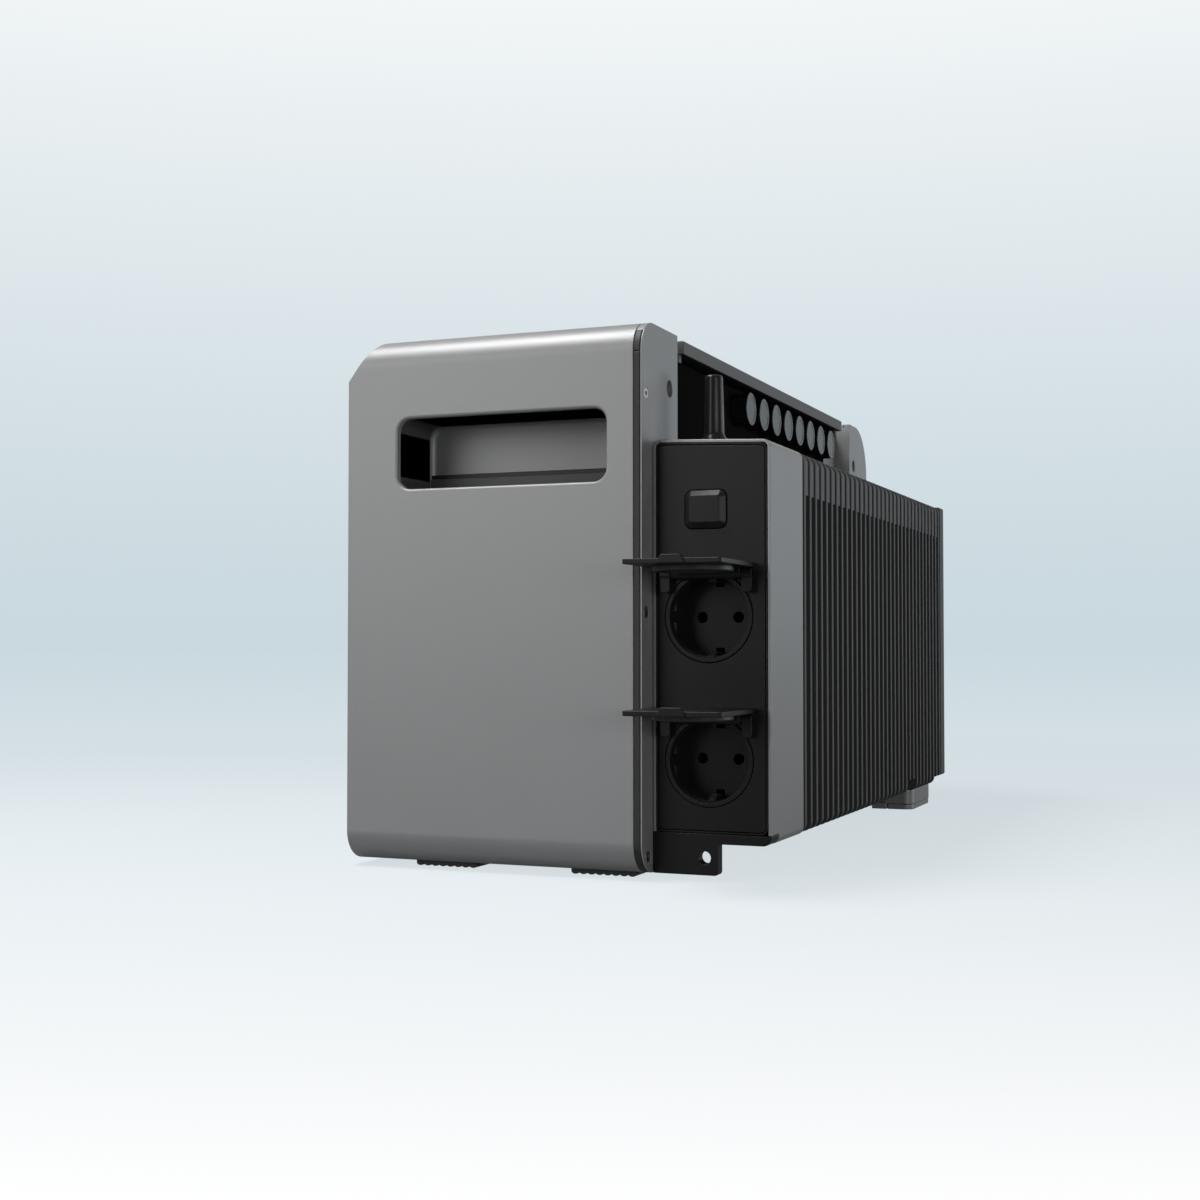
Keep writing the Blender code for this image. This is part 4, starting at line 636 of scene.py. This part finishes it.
# Painted shade: a black sheet over the housing's wall round the block, darkening the bay where light does not
# reach.
shade_sheet_outline = box_outline(shade_sheet_front, shade_sheet_low, block_rear, shade_sheet_high, 1.0)
shade_sheet_outline = plate(shade_sheet_outline, "X", edge_section(-6.6, bay_face - 0.05, 0.02))
add_piece("bay_painted_shade", shade_sheet_outline, matte_black)
gloss_black = finish(
    "gloss_black", (0.0060, 0.0060, 0.0062), (0.0100, 0.0100, 0.0102), (0.030, 0.030, 0.031),
    (0.22, 0.32), 0.0, 2400.0, 0.05, 0.30, 0.01, specular=0.35,
)

cap_section = np.array([
    (0.9, cap_start, -1.0), (0.25, cap_start + 0.05, -0.7), (0.0, cap_start + 0.4, 0.0),
    (0.0, cap_start + 1.1, 0.0), (0.25, cap_start + 1.4, 0.0), (0.25, cap_stop - 1.3, 0.0),
    (0.05, cap_stop - 0.9, 0.0), (0.0, cap_stop - 0.6, 0.0), (0.05, cap_stop - 0.3, 0.35),
    (0.2, cap_stop - 0.1, 0.75), (0.5, cap_stop, 1.0),
])
flute_share = np.array([0, 0, 0, 0, 1, 1, 0, 0, 0, 0, 0])


def screw_cap(centre):
    """A cap turned about X: its radius dips by a rounded wave of flutes between the two plain rims.

    The wave is a smooth step of cos(flutes * angle), and the normal leans with the wave's slope. The
    open end has the bore of the barrel, and the closed end a shallow ring pressed into it.
    """
    ring = circle_outline(centre, cap_radius, 12 * flute_count)
    angle = np.linspace(0, 2 * np.pi, len(ring), endpoint=False)
    wave = 0.5 + 0.5 * np.tanh(2.2 * np.cos(flute_count * angle))
    slope = -flute_depth * np.gradient(wave, angle) / cap_radius
    rows = rows_of(ring, "X", cap_section)
    dip = flute_share[:, None] * flute_depth * wave
    rows[..., 1:3] -= dip[..., None] * ring[None, :, 2:]
    tangent = np.stack((-ring[:, 3], ring[:, 2]), -1)
    rows[..., 4:6] -= (flute_share[:, None] * slope)[..., None] * tangent
    bore = [(0.0, cap_start, -0.6), (0.3, cap_start + 0.3, 0.0), (0.3, cap_stop - 2.0, 0.0)]
    inside = rows_of(as_hole(circle_outline(centre, 7.6, 48)), "X", np.array(bore) * (-1, 1, 1))
    ridge = [(0.0, cap_stop, 1.0), (0.12, cap_stop - 0.05, 0.7), (0.35, cap_stop - 0.25, 1.0)]
    dish = rows_of(circle_outline(centre, 7.9, 48), "X", ridge)
    return [
        skin(rows), skin(inside), skin(dish),
        filled([rows[0], inside[0]], (-1, 0, 0)),
        filled([inside[-1]], (-1, 0, 0)),
        filled([rows[-1], dish[0]], (1, 0, 0)),
        filled([dish[-1]], (1, 0, 0)),
    ]


for number in range(cap_count):
    name = f"connector_cap_{number + 1}"
    cap = screw_cap((cap_first + number * cap_pitch, cap_level))
    add_piece(f"{name}_fluted", cap, gloss_black, [name], name)

# Inverter chassis, transformer and heat sink: a folded channel with the board on standoffs, closed on
# its right by a black anodised extrusion, whose upright fins are milled to the box's rounded outline.
# A dark painted bar in the gaps behind the fins' edges along the top is painted light: lighter than the
# fins, it stands in for the band where light reaches down between them.
black_anodised = finish(
    "black_anodised", (0.036, 0.036, 0.0365), (0.052, 0.052, 0.053), (0.12, 0.12, 0.12),
    (0.50, 0.64), 0.10, 1800.0, 0.10, 0.20, 0.02, specular=0.35,
)
dress(dark_paint, "inverter_chassis", "transformer")
box_left, box_right, box_low, box_high, box_draft = 4.9, 65.4, 15.3, 213.7, 2.5
sink_start, sink_stop, sink_left, sink_root = 72.5, 440.66, 30.0, 36.4
fin_count, fin_margin, fin_thickness, fin_radius, fin_edge = 33, 2.7, 3.4, 5.0, 0.45
fin_pitch = (sink_stop - sink_start - 2 * fin_margin - fin_thickness) / (fin_count - 1)
notched_fins, notch_rise, notch_depth = (23, 24), 8.0, 5.0
tail_fins, tail_low = (31, 32), 19.6


def box_top(x):
    """Height of the inverter's top, which falls evenly towards its right side."""
    return box_high - box_draft * (x - box_left) / (box_right - box_left)


fin_foot = [(sink_root - 2, box_low, 0.6), (box_right, box_low, fin_radius)]
tail_foot = [(sink_root - 2, tail_low, 0.6), (box_right, tail_low, 1.5)]
cut_foot = [
    (sink_root - 2, box_low, 0.6), (box_right - notch_depth, box_low, 0.6),
    (box_right - notch_depth, box_low + notch_rise, 0.6), (box_right, box_low + notch_rise, 0.8),
]
fin_crown = [
    (box_right, box_top(box_right), fin_radius), (sink_root - 2, box_top(sink_root - 2), 0.6),
]
tail = sink_start + fin_margin + (tail_fins[0] - 1) * fin_pitch + 2 * fin_thickness
base = [
    (sink_start, box_low, 0.6), (tail, box_low, 0.6), (tail, tail_low, 0.3), (sink_stop, tail_low, 0.6),
    (sink_stop, box_top(sink_left), 0.6), (sink_start, box_top(sink_left), 0.6),
]
fins = plate(rounded_outline(base, 4), "X", edge_section(sink_left, sink_root, 0.4))
for number in range(fin_count):
    start = sink_start + fin_margin + number * fin_pitch
    foot = cut_foot if number in notched_fins else tail_foot if number in tail_fins else fin_foot
    blade = rounded_outline(foot + fin_crown, 7)
    fins += plate(blade, "Y", edge_section(start, start + fin_thickness, fin_edge, steps=3))
# Painted light: a lighter bar set in the fin gaps along the top, for the band lit between the fins.
lit_band_right, lit_band_drop, lit_band_fall = box_right - 0.9, 21.8, 0.9
bar = rounded_outline([
    (sink_root - 1, box_top(sink_root) - lit_band_drop, 0.3), (lit_band_right, box_top(lit_band_right) - lit_band_drop, 0.3),
    (lit_band_right, box_top(lit_band_right) - lit_band_fall, 4.2), (sink_root - 1, box_top(sink_root) - lit_band_fall, 0.3),
])
bar = plate(bar, "Y", edge_section(sink_start + fin_margin + 1, sink_stop - fin_margin - 1, 0.2))
add_piece("finned_sink", fins, black_anodised, ["heat_sink"])
add_piece("sink_painted_lit_band", bar, dark_paint)

# Inverter front cap: a smooth grey painted tube round the sockets, pushed over the chassis, with its
# lower front edge cut away for the mount bracket. The rear cap is a black plate screwed on behind.
cap_front, cap_back, cap_wall, box_radius, rear_span = 14.3, 72.2, 1.5, 4.0, (441.0, 454.56)
skirt_top, skirt_back = 20.6, 28.0


def sloped_outline(inset, low, corner, steps=8):
    """A box under the inverter's sloping top, moved in by a wall, with four equal corner radii."""
    left, right = box_left + inset, box_right - inset
    return rounded_outline([
        (left, low, corner), (right, low, corner),
        (right, box_top(right) - inset, corner), (left, box_top(left) - inset, corner),
    ], steps)


def inverter_section(inset, low=box_low, radius=box_radius):
    """The inverter's outline, moved in by a wall."""
    return sloped_outline(inset, low + inset, max(radius - inset, 0.8), 10)


def front_tube():
    """A closed sheet tube: outer rows to the back, inner rows to the front, joined at both ends.

    Below the bracket's top the front rows start further back, so the bracket has room.
    """
    walls = []
    for inset, start, stop in ((0.0, cap_front, cap_back), (cap_wall, cap_back, cap_front)):
        line = at_level(at_level(inverter_section(inset), skirt_top), skirt_top - 0.05)
        line = line if inset == 0 else line * (1, 1, -1, -1)
        walls.append(rows_of(line, "Y", edge_section(start, stop, 0.55 if inset == 0 else 0.15)))
    rows = np.concatenate(walls)
    below = (rows[..., 2] < skirt_top - 0.02) & (rows[..., 1] < skirt_back)
    rows[..., 1] += np.where(below, skirt_back - cap_front, 0)
    return [skin(rows, closed=True)]


add_piece("front_cap_tube", front_tube(), grey_paint, ["inverter_front_cap"])
rear_plate = plate(inverter_section(0, tail_low, 1.5), "Y", edge_section(*rear_span, 0.3, 1.2))
add_piece("rear_cap_plate", rear_plate, black_anodised, ["inverter_rear_cap"])

# Mount bracket: a black plate under the sockets, with a skirt across the box and a tab below it that
# a bolt goes through; milled from bar, with its edges broken.
tab_right, tab_radius, skirt_radius = 38.5, 2.0, 4.5
bolt_spot, bolt_radius, bracket_top = (31.5, 8.5), 3.15, 20.3
bracket = rounded_outline([
    (box_left, 0, 0.8), (tab_right, 0, tab_radius), (tab_right, box_low, 0.3),
    (box_right, box_low, skirt_radius), (box_right, bracket_top, 0.8), (box_left, bracket_top, 0.8),
], 10)
bracket_edge = edge_section(14.3, 20.8, 0.5, 0.05)
bolt_hole = (circle_outline(bolt_spot, bolt_radius), bracket_edge)
mount = plate(bracket, "Y", bracket_edge, [bolt_hole])
skirt = rounded_outline([
    (box_left, box_low, 0.8), (box_right, box_low, skirt_radius),
    (box_right, bracket_top, 0.8), (box_left, bracket_top, 0.8),
], 10)
mount += plate(skirt, "Y", edge_section(20.0, 27.7, 0.05, 0.5))
add_piece("mount_plate", mount, black_plastic, ["front_mount_bracket"])

# Socket panel: a black moulded panel in a frame of its own, with a narrow groove between them, holes
# for the sockets and the button, and two hinge bosses over each socket that stand out to hold a pin.
frame_width, groove, panel_front, panel_back, frame_back = 0.8, 0.4, 14.3, 17.3, 19.3
socket_across, socket_levels, socket_radius = 33.9, {"upper": 125.7, "lower": 55.5}, 22.3
hinge_y, hinge_rise, hinge_radius = 10.9, 20.6, 2.6
boss_inner, boss_width, boss_drop = 18.0, 5.5, 9.0
button_across, button_level, button_size, button_radius = 32.6, 178.2, (21.1, 18.7), 3.6


def panel_outline(inset):
    """The front cap's opening above the bracket, moved in by a width."""
    return sloped_outline(cap_wall + 0.3 + inset, skirt_top + inset, max(3.5 - inset, 0.9))


def button_outline(extra):
    """The power button's outline, grown by a clearance."""
    wide, tall = button_size[0] / 2 + extra, button_size[1] / 2 + extra
    return box_outline(
        button_across - wide, button_level - tall, button_across + wide, button_level + tall,
        button_radius + extra,
    )


frame_edge = edge_section(panel_front, frame_back, 0.2)
rim = plate(panel_outline(0), "Y", frame_edge, [(panel_outline(frame_width), frame_edge)])
add_piece("panel_rim", rim, black_plastic, ["panel_frame"])

panel_edge = edge_section(panel_front, panel_back, 0.3)
holes = [(button_outline(0.3), panel_edge)]
holes += [
    (circle_outline((socket_across, level), socket_radius + 0.35, 72), panel_edge)
    for level in socket_levels.values()
]
panel = plate(panel_outline(frame_width + groove), "Y", panel_edge, holes)
for level in socket_levels.values():
    axis = level + hinge_rise
    for side in (-1, 1):
        near = socket_across + side * boss_inner
        span = sorted((near, near + side * boss_width))
        knuckle = rounded_outline([
            (hinge_y - hinge_radius, axis - hinge_radius, 2.2), (panel_front + 1, axis - hinge_radius, 0.5),
            (panel_front + 1, axis + hinge_radius, 0.5), (hinge_y - hinge_radius, axis + hinge_radius, 2.2),
        ])
        panel += plate(knuckle, "X", edge_section(*span, 0.4))
        gusset = rounded_outline([
            (span[0] + 0.2, axis - boss_drop, 1.6), (span[1] - 0.2, axis - boss_drop, 1.6),
            (span[1] - 0.2, axis - 1, 0.5), (span[0] + 0.2, axis - 1, 0.5),
        ])
        panel += plate(gusset, "Y", edge_section(hinge_y - hinge_radius + 0.5, panel_front + 1, 0.45))
add_piece("panel_face", panel, black_plastic, ["socket_panel"])

# Sockets: round earthed mains outlets, moulded in black, flush in the panel with a fine joint round
# them. Keys stand in at both sides, two pin holes are in the floor, and slots above and below take
# the sprung earth clips, which are bent from one bright strap behind the socket.
socket_face, recess_floor, key_level, socket_back = 13.8, 32.75, 17.0, 44.7
mouth_radius, recess_radius, key_flat, key_slot = 20.0, 19.6, 17.5, 5.8
pin_half, pin_radius = 9.5, 2.65
slot_half, slot_inner, slot_outer = 2.2, 15.2, 19.3


def recess_outline(level):
    """The recess: a circle with a flat key at each side, and a slot in the middle of each key."""
    swing = np.arccos(key_flat / recess_radius)
    slot = key_slot / 2
    deep = np.sqrt(recess_radius**2 - slot**2) - 0.05
    angle = np.linspace(swing, np.pi - swing, 40)
    round_part = np.stack((np.cos(angle), np.sin(angle)), -1)
    key = [(key_flat, -slot), (deep, -slot + 0.15), (deep, slot - 0.15), (key_flat, slot)]
    half = np.concatenate((
        [(*corner, 1, 0) for corner in key],
        np.concatenate((recess_radius * round_part, round_part), -1),
    ))
    whole = np.concatenate((half, -half))
    return whole + (socket_across, level, 0, 0)


def socket(level):
    """The cup: outer wall, rounded face ring, mouth, the keyed recess, and the floor with its holes."""
    spot = (socket_across, level)
    outer = rows_of(circle_outline(spot, socket_radius, 96), "Y", edge_section(socket_back, socket_face, 0.4))
    mouth_section = edge_section(socket_face, key_level, 0.45, 0.1)[:-4]
    mouth = rows_of(as_hole(circle_outline(spot, mouth_radius, 96)), "Y", mouth_section)
    inward = [(0, mouth_section[-1][1], 0), (0, recess_floor, 0)]
    recess = rows_of(as_hole(recess_outline(level)), "Y", inward)
    pins = [(socket_across + side * pin_half, level) for side in (-1, 1)]
    wells = [(circle_outline(pin, pin_radius, 32), 0.35) for pin in pins]
    for side in (-1, 1):
        near, far = sorted((level + side * slot_inner, level + side * slot_outer))
        slot = box_outline(socket_across - slot_half, near, socket_across + slot_half, far, 0.3)
        wells.append((slot, 0.1))
    pits = [
        rows_of(as_hole(line), "Y", edge_section(recess_floor, socket_back - 1, edge)[:6])
        for line, edge in wells
    ]
    return [
        skin(outer), skin(mouth), skin(recess), *[skin(pit) for pit in pits],
        filled([outer[0]], (0, 1, 0)),
        filled([outer[-1], mouth[0]], (0, -1, 0)),
        filled([mouth[-1], recess[0]], (0, -1, 0)),
        filled([recess[-1], *[pit[0] for pit in pits]], (0, -1, 0)),
        *[filled([pit[-1]], (0, -1, 0)) for pit in pits],
    ]


for name, level in socket_levels.items():
    add_piece(f"{name}_outlet", socket(level), black_plastic, [f"{name}_socket"])
    dress(bright_steel, f"{name}_earth_strap", f"{name}_hinge_pin")

# Socket lids: black moulded flaps, shown open, each with a finger tab, a barrel that turns on a steel
# pin between the bosses, and a soft D-shaped rubber seal pressed into its underside.
flap_half, flap_front, flap_back, flap_low, flap_high = 24.25, -40.0, 13.5, 2.9, 5.4
tab_front, tab_base, tab_top, tab_rise = -41.0, 7.2, 4.9, 1.8
ring_radius, ring_width, ring_drop = 19.4, 2.0, 2.3


def seal_outline(inset):
    """The seal's ring round the socket, cut straight beside the hinge, in X and Y."""
    chord = hinge_rise - hinge_radius - 0.6 - inset
    radius = ring_radius - inset
    half = np.arccos(chord / radius)
    angle = np.linspace(np.pi / 2 + half, 5 * np.pi / 2 - half, 64)
    normal = np.stack((np.cos(angle), np.sin(angle)), -1)
    return np.concatenate((np.array((socket_across, hinge_y - hinge_rise)) + radius * normal, normal), -1)


for name, level in socket_levels.items():
    axis = level + hinge_rise
    low, high = axis + flap_low, axis + flap_high
    outline = box_outline(socket_across - flap_half, flap_front, socket_across + flap_half, flap_back, 1.6)
    flap = plate(outline, "Z", edge_section(low, high, 0.45))
    finger = rounded_outline([
        (socket_across - tab_base, low + 0.2, 0.5), (socket_across + tab_base, low + 0.2, 0.5),
        (socket_across + tab_top, high + tab_rise, 0.7), (socket_across - tab_top, high + tab_rise, 0.7),
    ])
    flap += plate(finger, "Y", edge_section(tab_front, flap_front + 2, 0.45))
    barrel_half = boss_inner - 0.3
    barrel = circle_outline((hinge_y, axis), hinge_radius, 40)
    flap += plate(barrel, "X", edge_section(socket_across - barrel_half, socket_across + barrel_half, 0.35))
    web = box_outline(
        socket_across - barrel_half, hinge_y - hinge_radius,
        socket_across + barrel_half, hinge_y + hinge_radius / 2, 0.5,
    )
    flap += plate(web, "Z", edge_section(axis, low + 1, 0.2))
    add_piece(f"{name}_flap", flap, black_plastic, [f"{name}_socket_lid"], f"{name}_lid")
    seal_edge = edge_section(low - 0.3 - ring_drop, low - 0.05, 0.7, 0.2)
    ring = plate(seal_outline(0), "Z", seal_edge, [(seal_outline(ring_width), seal_edge)])
    add_piece(f"{name}_seal_ring", ring, black_rubber, [f"{name}_lid_seal"], f"{name}_lid")

# Power button: a black moulded key with a sloping border and a slightly crowned top, guided by the
# panel, on the switch behind it.
button_back = 20.5
button_section = [
    (0.3, button_back, 1.0), (0.0, button_back - 0.3, 0.0), (0.0, 14.0, 0.0), (0.08, 13.75, -0.45),
    (0.3, 13.52, -0.79), (2.6, 11.72, -0.79), (2.85, 11.57, -0.9), (3.2, 11.5, -1.0),
]
key = plate(button_outline(0), "Y", button_section)
stem = circle_outline((button_across, button_level), 2.0, 24)
key += plate(stem, "Y", edge_section(button_back - 1, button_back + 6, 0.3))
add_piece("button_key", key, black_plastic, ["power_button"], "power_button")

# Antenna: a short rubber-covered stub with a flared foot, screwed down through a hexagon nut on top of
# the front cap.
antenna_spot, nut_radius, nut_height = (24.8, 50.0), 7.8, 1.8
nut_low = box_top(antenna_spot[0] - nut_radius) + 0.3
nut = np.stack((nut_radius * np.cos(hexagon), nut_radius * np.sin(hexagon), 0.5 + 0 * hexagon), -1)
nut = rounded_outline(nut + (*antenna_spot, 0), 3)
add_piece(
    "antenna_hex_nut", plate(nut, "Z", edge_section(nut_low, nut_low + nut_height, 0.45)), bright_steel,
    ["antenna_nut"],
)
stub_low = nut_low + nut_height + 0.3
stub = np.array([
    (0.5, 0.0, -1.0), (0.1, 0.15, -0.7), (0.0, 0.35, 0.0), (0.05, 0.7, 0.4), (0.9, 2.2, 0.48),
    (1.5, 3.3, 0.42), (1.72, 3.9, 0.2), (1.8, 4.6, 0.05), (1.9, 12.0, 0.02), (2.3, 26.0, 0.02),
    (2.5, 32.4, 0.03), (2.55, 32.9, 0.25), (2.75, 33.4, 0.6), (3.1, 33.75, 0.88), (3.6, 33.9, 1.0),
])
stub[:, 1] += stub_low
antenna = plate(circle_outline(antenna_spot, 7.2, 56), "Z", stub)
add_piece("antenna_stub", antenna, gloss_black, ["antenna"])

# Feet: ribbed rubber pads glued under the end covers, and a painted block with a pad of its own under
# the rear of the inverter.
foot_width, foot_length, foot_setback, foot_low, rib_count, rib_depth = 35.0, 33.0, 17.0, -3.0, 8, 1.2
foot_centres = {"right": -22.5, "left": -110.5}


def foot_outline(centre):
    """A pad seen from the front: a flat top, and an underside of round ribs, the root of abs(sin)."""
    across = np.linspace(-0.5, 0.5, 20 * rib_count + 1)[1:-1]
    under = foot_low + rib_depth * (1 - np.sqrt(np.abs(np.sin(np.pi * rib_count * (across + 0.5)))))
    lower = np.stack((centre + foot_width * across, under), -1)
    left, right, root = centre - foot_width / 2, centre + foot_width / 2, foot_low + rib_depth
    points = np.concatenate(([(left, root)], lower, [(right, root), (right, -0.3), (left, -0.3)]))
    along = np.roll(points, -1, 0) - np.roll(points, 1, 0)
    normal = np.stack((along[:, 1], -along[:, 0]), -1)
    normal /= np.linalg.norm(normal, axis=1, keepdims=True)
    return np.concatenate((points, normal), -1)


for end, bend in ends:
    reach = span_at(end, foot_setback, foot_setback + foot_length)
    for side, centre in foot_centres.items():
        pad = plate(foot_outline(centre), "Y", edge_section(*reach, 0.12, steps=2))
        add_piece(f"{end}_{side}_pad", pad, black_rubber, [f"{end}_{side}_foot"])

support_right, support_front, support_rear, support_radius = 51.2, 410.0, 472.5, 7.0
support_left, heel_right, pad_left = 22.0, 32.7, 33.0


def support_outline(left, inset=0.0):
    """The support's plan: square on the left, rounded on the right."""
    return rounded_outline([
        (left, support_front + inset, 0.9), (support_right - inset, support_front + inset, support_radius),
        (support_right - inset, support_rear - inset, support_radius), (left, support_rear - inset, 0.9),
    ], 10)


support = plate(support_outline(support_left), "Z", edge_section(0.8, 15.0, 0.5))
heel = box_outline(support_left, support_front, heel_right, support_rear, 0.9)
support += plate(heel, "Z", edge_section(foot_low, 2.0, 0.5, 0.05))
add_piece("support_block", support, grey_paint, ["support_foot"])
pad = plate(support_outline(pad_left, 0.25), "Z", edge_section(foot_low, 0.5, 0.8, 0.3))
add_piece("support_block_pad", pad, grey_paint, ["support_foot_pad"])

# Studio: a plain pale floor that fades into a pale sky, a broad soft key from the front left, a soft
# light overhead that draws the line along the top bend, and two low fills on the right.
floor_size = 60.0
floor_mesh = bpy.data.meshes.new("floor")
grid = np.linspace(-floor_size / 2, floor_size / 2, 3)
spread = np.stack(np.meshgrid(grid, grid, [0.0]), -1).reshape(-1, 3)
floor_mesh.from_pydata(spread.tolist(), [], [(0, 1, 4, 3), (1, 2, 5, 4), (3, 4, 7, 6), (4, 5, 8, 7)])
floor = bpy.data.objects.new("floor", floor_mesh)
scene.collection.objects.link(floor)

horizon, high_sky, foreground = (0.59, 0.69, 0.74), (0.89, 0.92, 0.93), (1.0, 1.0, 1.0)


def seen_rays(tree, mirrored):
    """1 for rays from the camera and through glass, a given share for reflections, 0 for bounced light."""
    path = tree.nodes.new("ShaderNodeLightPath").outputs
    direct = math_node(tree, "MAXIMUM", path["Is Camera Ray"], path["Is Transmission Ray"])
    return math_node(tree, "MAXIMUM", direct, math_node(tree, "MULTIPLY", path["Is Glossy Ray"], mirrored))


view_turn = np.radians(22.31)
floor_paint = bpy.data.materials.new("floor_paint")
floor_paint.use_nodes = True
tree = floor_paint.node_tree
shader = tree.nodes["Principled BSDF"]
shader.inputs["Roughness"].default_value = 0.9
shader.inputs["Specular IOR Level"].default_value = 0.0
turned = tree.nodes.new("ShaderNodeMapping")
turned.inputs["Rotation"].default_value = (0, 0, -view_turn)
tree.links.new(tree.nodes.new("ShaderNodeTexCoord").outputs["Object"], turned.inputs["Vector"])
split = tree.nodes.new("ShaderNodeSeparateXYZ")
tree.links.new(turned.outputs[0], split.inputs[0])
away = math_node(tree, "ADD", split.outputs["Y"], 1.0290)
near = math_node(tree, "DIVIDE", 0.3434, math_node(tree, "MAXIMUM", away, 0.2))
lit = colour_mix(tree, seen_rays(tree, 0.0), (0.19, 0.195, 0.20), (0.90, 0.91, 0.915))
tree.links.new(lit, shader.inputs["Base Color"])
glow = tree.nodes.new("ShaderNodeEmission")
tree.links.new(colour_mix(tree, near, horizon, foreground), glow.inputs["Color"])
blend = tree.nodes.new("ShaderNodeMixShader")
distance = tree.nodes.new("ShaderNodeVectorMath")
distance.operation = "LENGTH"
tree.links.new(turned.outputs[0], distance.inputs[0])
plain = map_range(tree, distance.outputs["Value"], (0.35, 1.3), (0.86, 1.0))
tree.links.new(math_node(tree, "MULTIPLY", seen_rays(tree, 0.2), plain), blend.inputs[0])
tree.links.new(shader.outputs[0], blend.inputs[1])
tree.links.new(glow.outputs[0], blend.inputs[2])
tree.links.new(blend.outputs[0], tree.nodes["Material Output"].inputs["Surface"])
floor_mesh.materials.append(floor_paint)

world = bpy.data.worlds.new("studio")
scene.world = world
world.use_nodes = True
tree = world.node_tree
tree.nodes.clear()
rise = tree.nodes.new("ShaderNodeSeparateXYZ")
tree.links.new(tree.nodes.new("ShaderNodeTexCoord").outputs["Generated"], rise.inputs[0])
climb = map_range(tree, rise.outputs["Z"], (0.0, 0.3655), (0.0, 1.0))
climb = math_node(tree, "POWER", climb, 1.4)
sky = tree.nodes.new("ShaderNodeBackground")
tree.links.new(colour_mix(tree, climb, horizon, high_sky), sky.inputs["Color"])
backdrop = tree.nodes.new("ShaderNodeVectorMath")
backdrop.operation = "DOT_PRODUCT"
tree.links.new(rise.inputs[0].links[0].from_socket, backdrop.inputs[0])
backdrop.inputs[1].default_value = (-np.sin(view_turn), np.cos(view_turn), 0)
height = map_range(tree, rise.outputs["Z"], (0.15, 0.6), (1.0, 0.2))
room = map_range(tree, backdrop.outputs["Value"], (-0.3, 0.5), (0.08, 1.0))
dome = tree.nodes.new("ShaderNodeBackground")
dome.inputs["Color"].default_value = (0.95, 0.98, 1.0, 1)
dome.inputs["Strength"].default_value = 0.12
blend = tree.nodes.new("ShaderNodeMixShader")
mirrored = math_node(tree, "MULTIPLY", room, height)
tree.links.new(seen_rays(tree, mirrored), blend.inputs[0])
tree.links.new(dome.outputs[0], blend.inputs[1])
tree.links.new(sky.outputs[0], blend.inputs[2])
tree.links.new(blend.outputs[0], tree.nodes.new("ShaderNodeOutputWorld").inputs["Surface"])

lamps = [
    ("key", (-1.75, -3.0, 1.05), (-0.02, -0.2, 0.14), (2.4, 1.8), 43.0),
    ("overhead", (-0.48, -0.50, 1.40), (-0.48, -0.55, 0.2), (0.60, 0.72), 24.0),
    ("side", (1.7, 1.1, 0.22), (0.05, 0.05, 0.10), (0.9, 0.5), 9.0),
    ("fill", (2.0, -1.7, 0.30), (0.05, -0.05, 0.08), (1.2, 0.6), 13.0),
]
for name, place, aim, size, power in lamps:
    light = bpy.data.lights.new(name, "AREA")
    light.shape = "RECTANGLE"
    light.size, light.size_y = size
    light.energy = power
    lamp = bpy.data.objects.new(name, light)
    lamp.location = place
    toward_aim = np.asarray(aim) - np.asarray(place)
    toward_aim /= np.linalg.norm(toward_aim)
    lamp.rotation_euler = (
        np.arccos(-toward_aim[2]), 0, np.arctan2(-toward_aim[0], toward_aim[1]),
    )
    scene.collection.objects.link(lamp)

# Camera: a long-normal lens in front of the sockets, at their height, turned a little to the left.
camera = bpy.data.objects.new("camera", bpy.data.cameras.new("camera"))
camera.data.lens, camera.data.sensor_width = 50.0, 36.0
camera.location = datum + 0.001 * np.array((293.08, -756.68, 110.58))
camera.rotation_euler = (np.radians(90 + 1.64), 0, view_turn)
scene.collection.objects.link(camera)
scene.camera = camera
scene.view_settings.view_transform = "Standard"
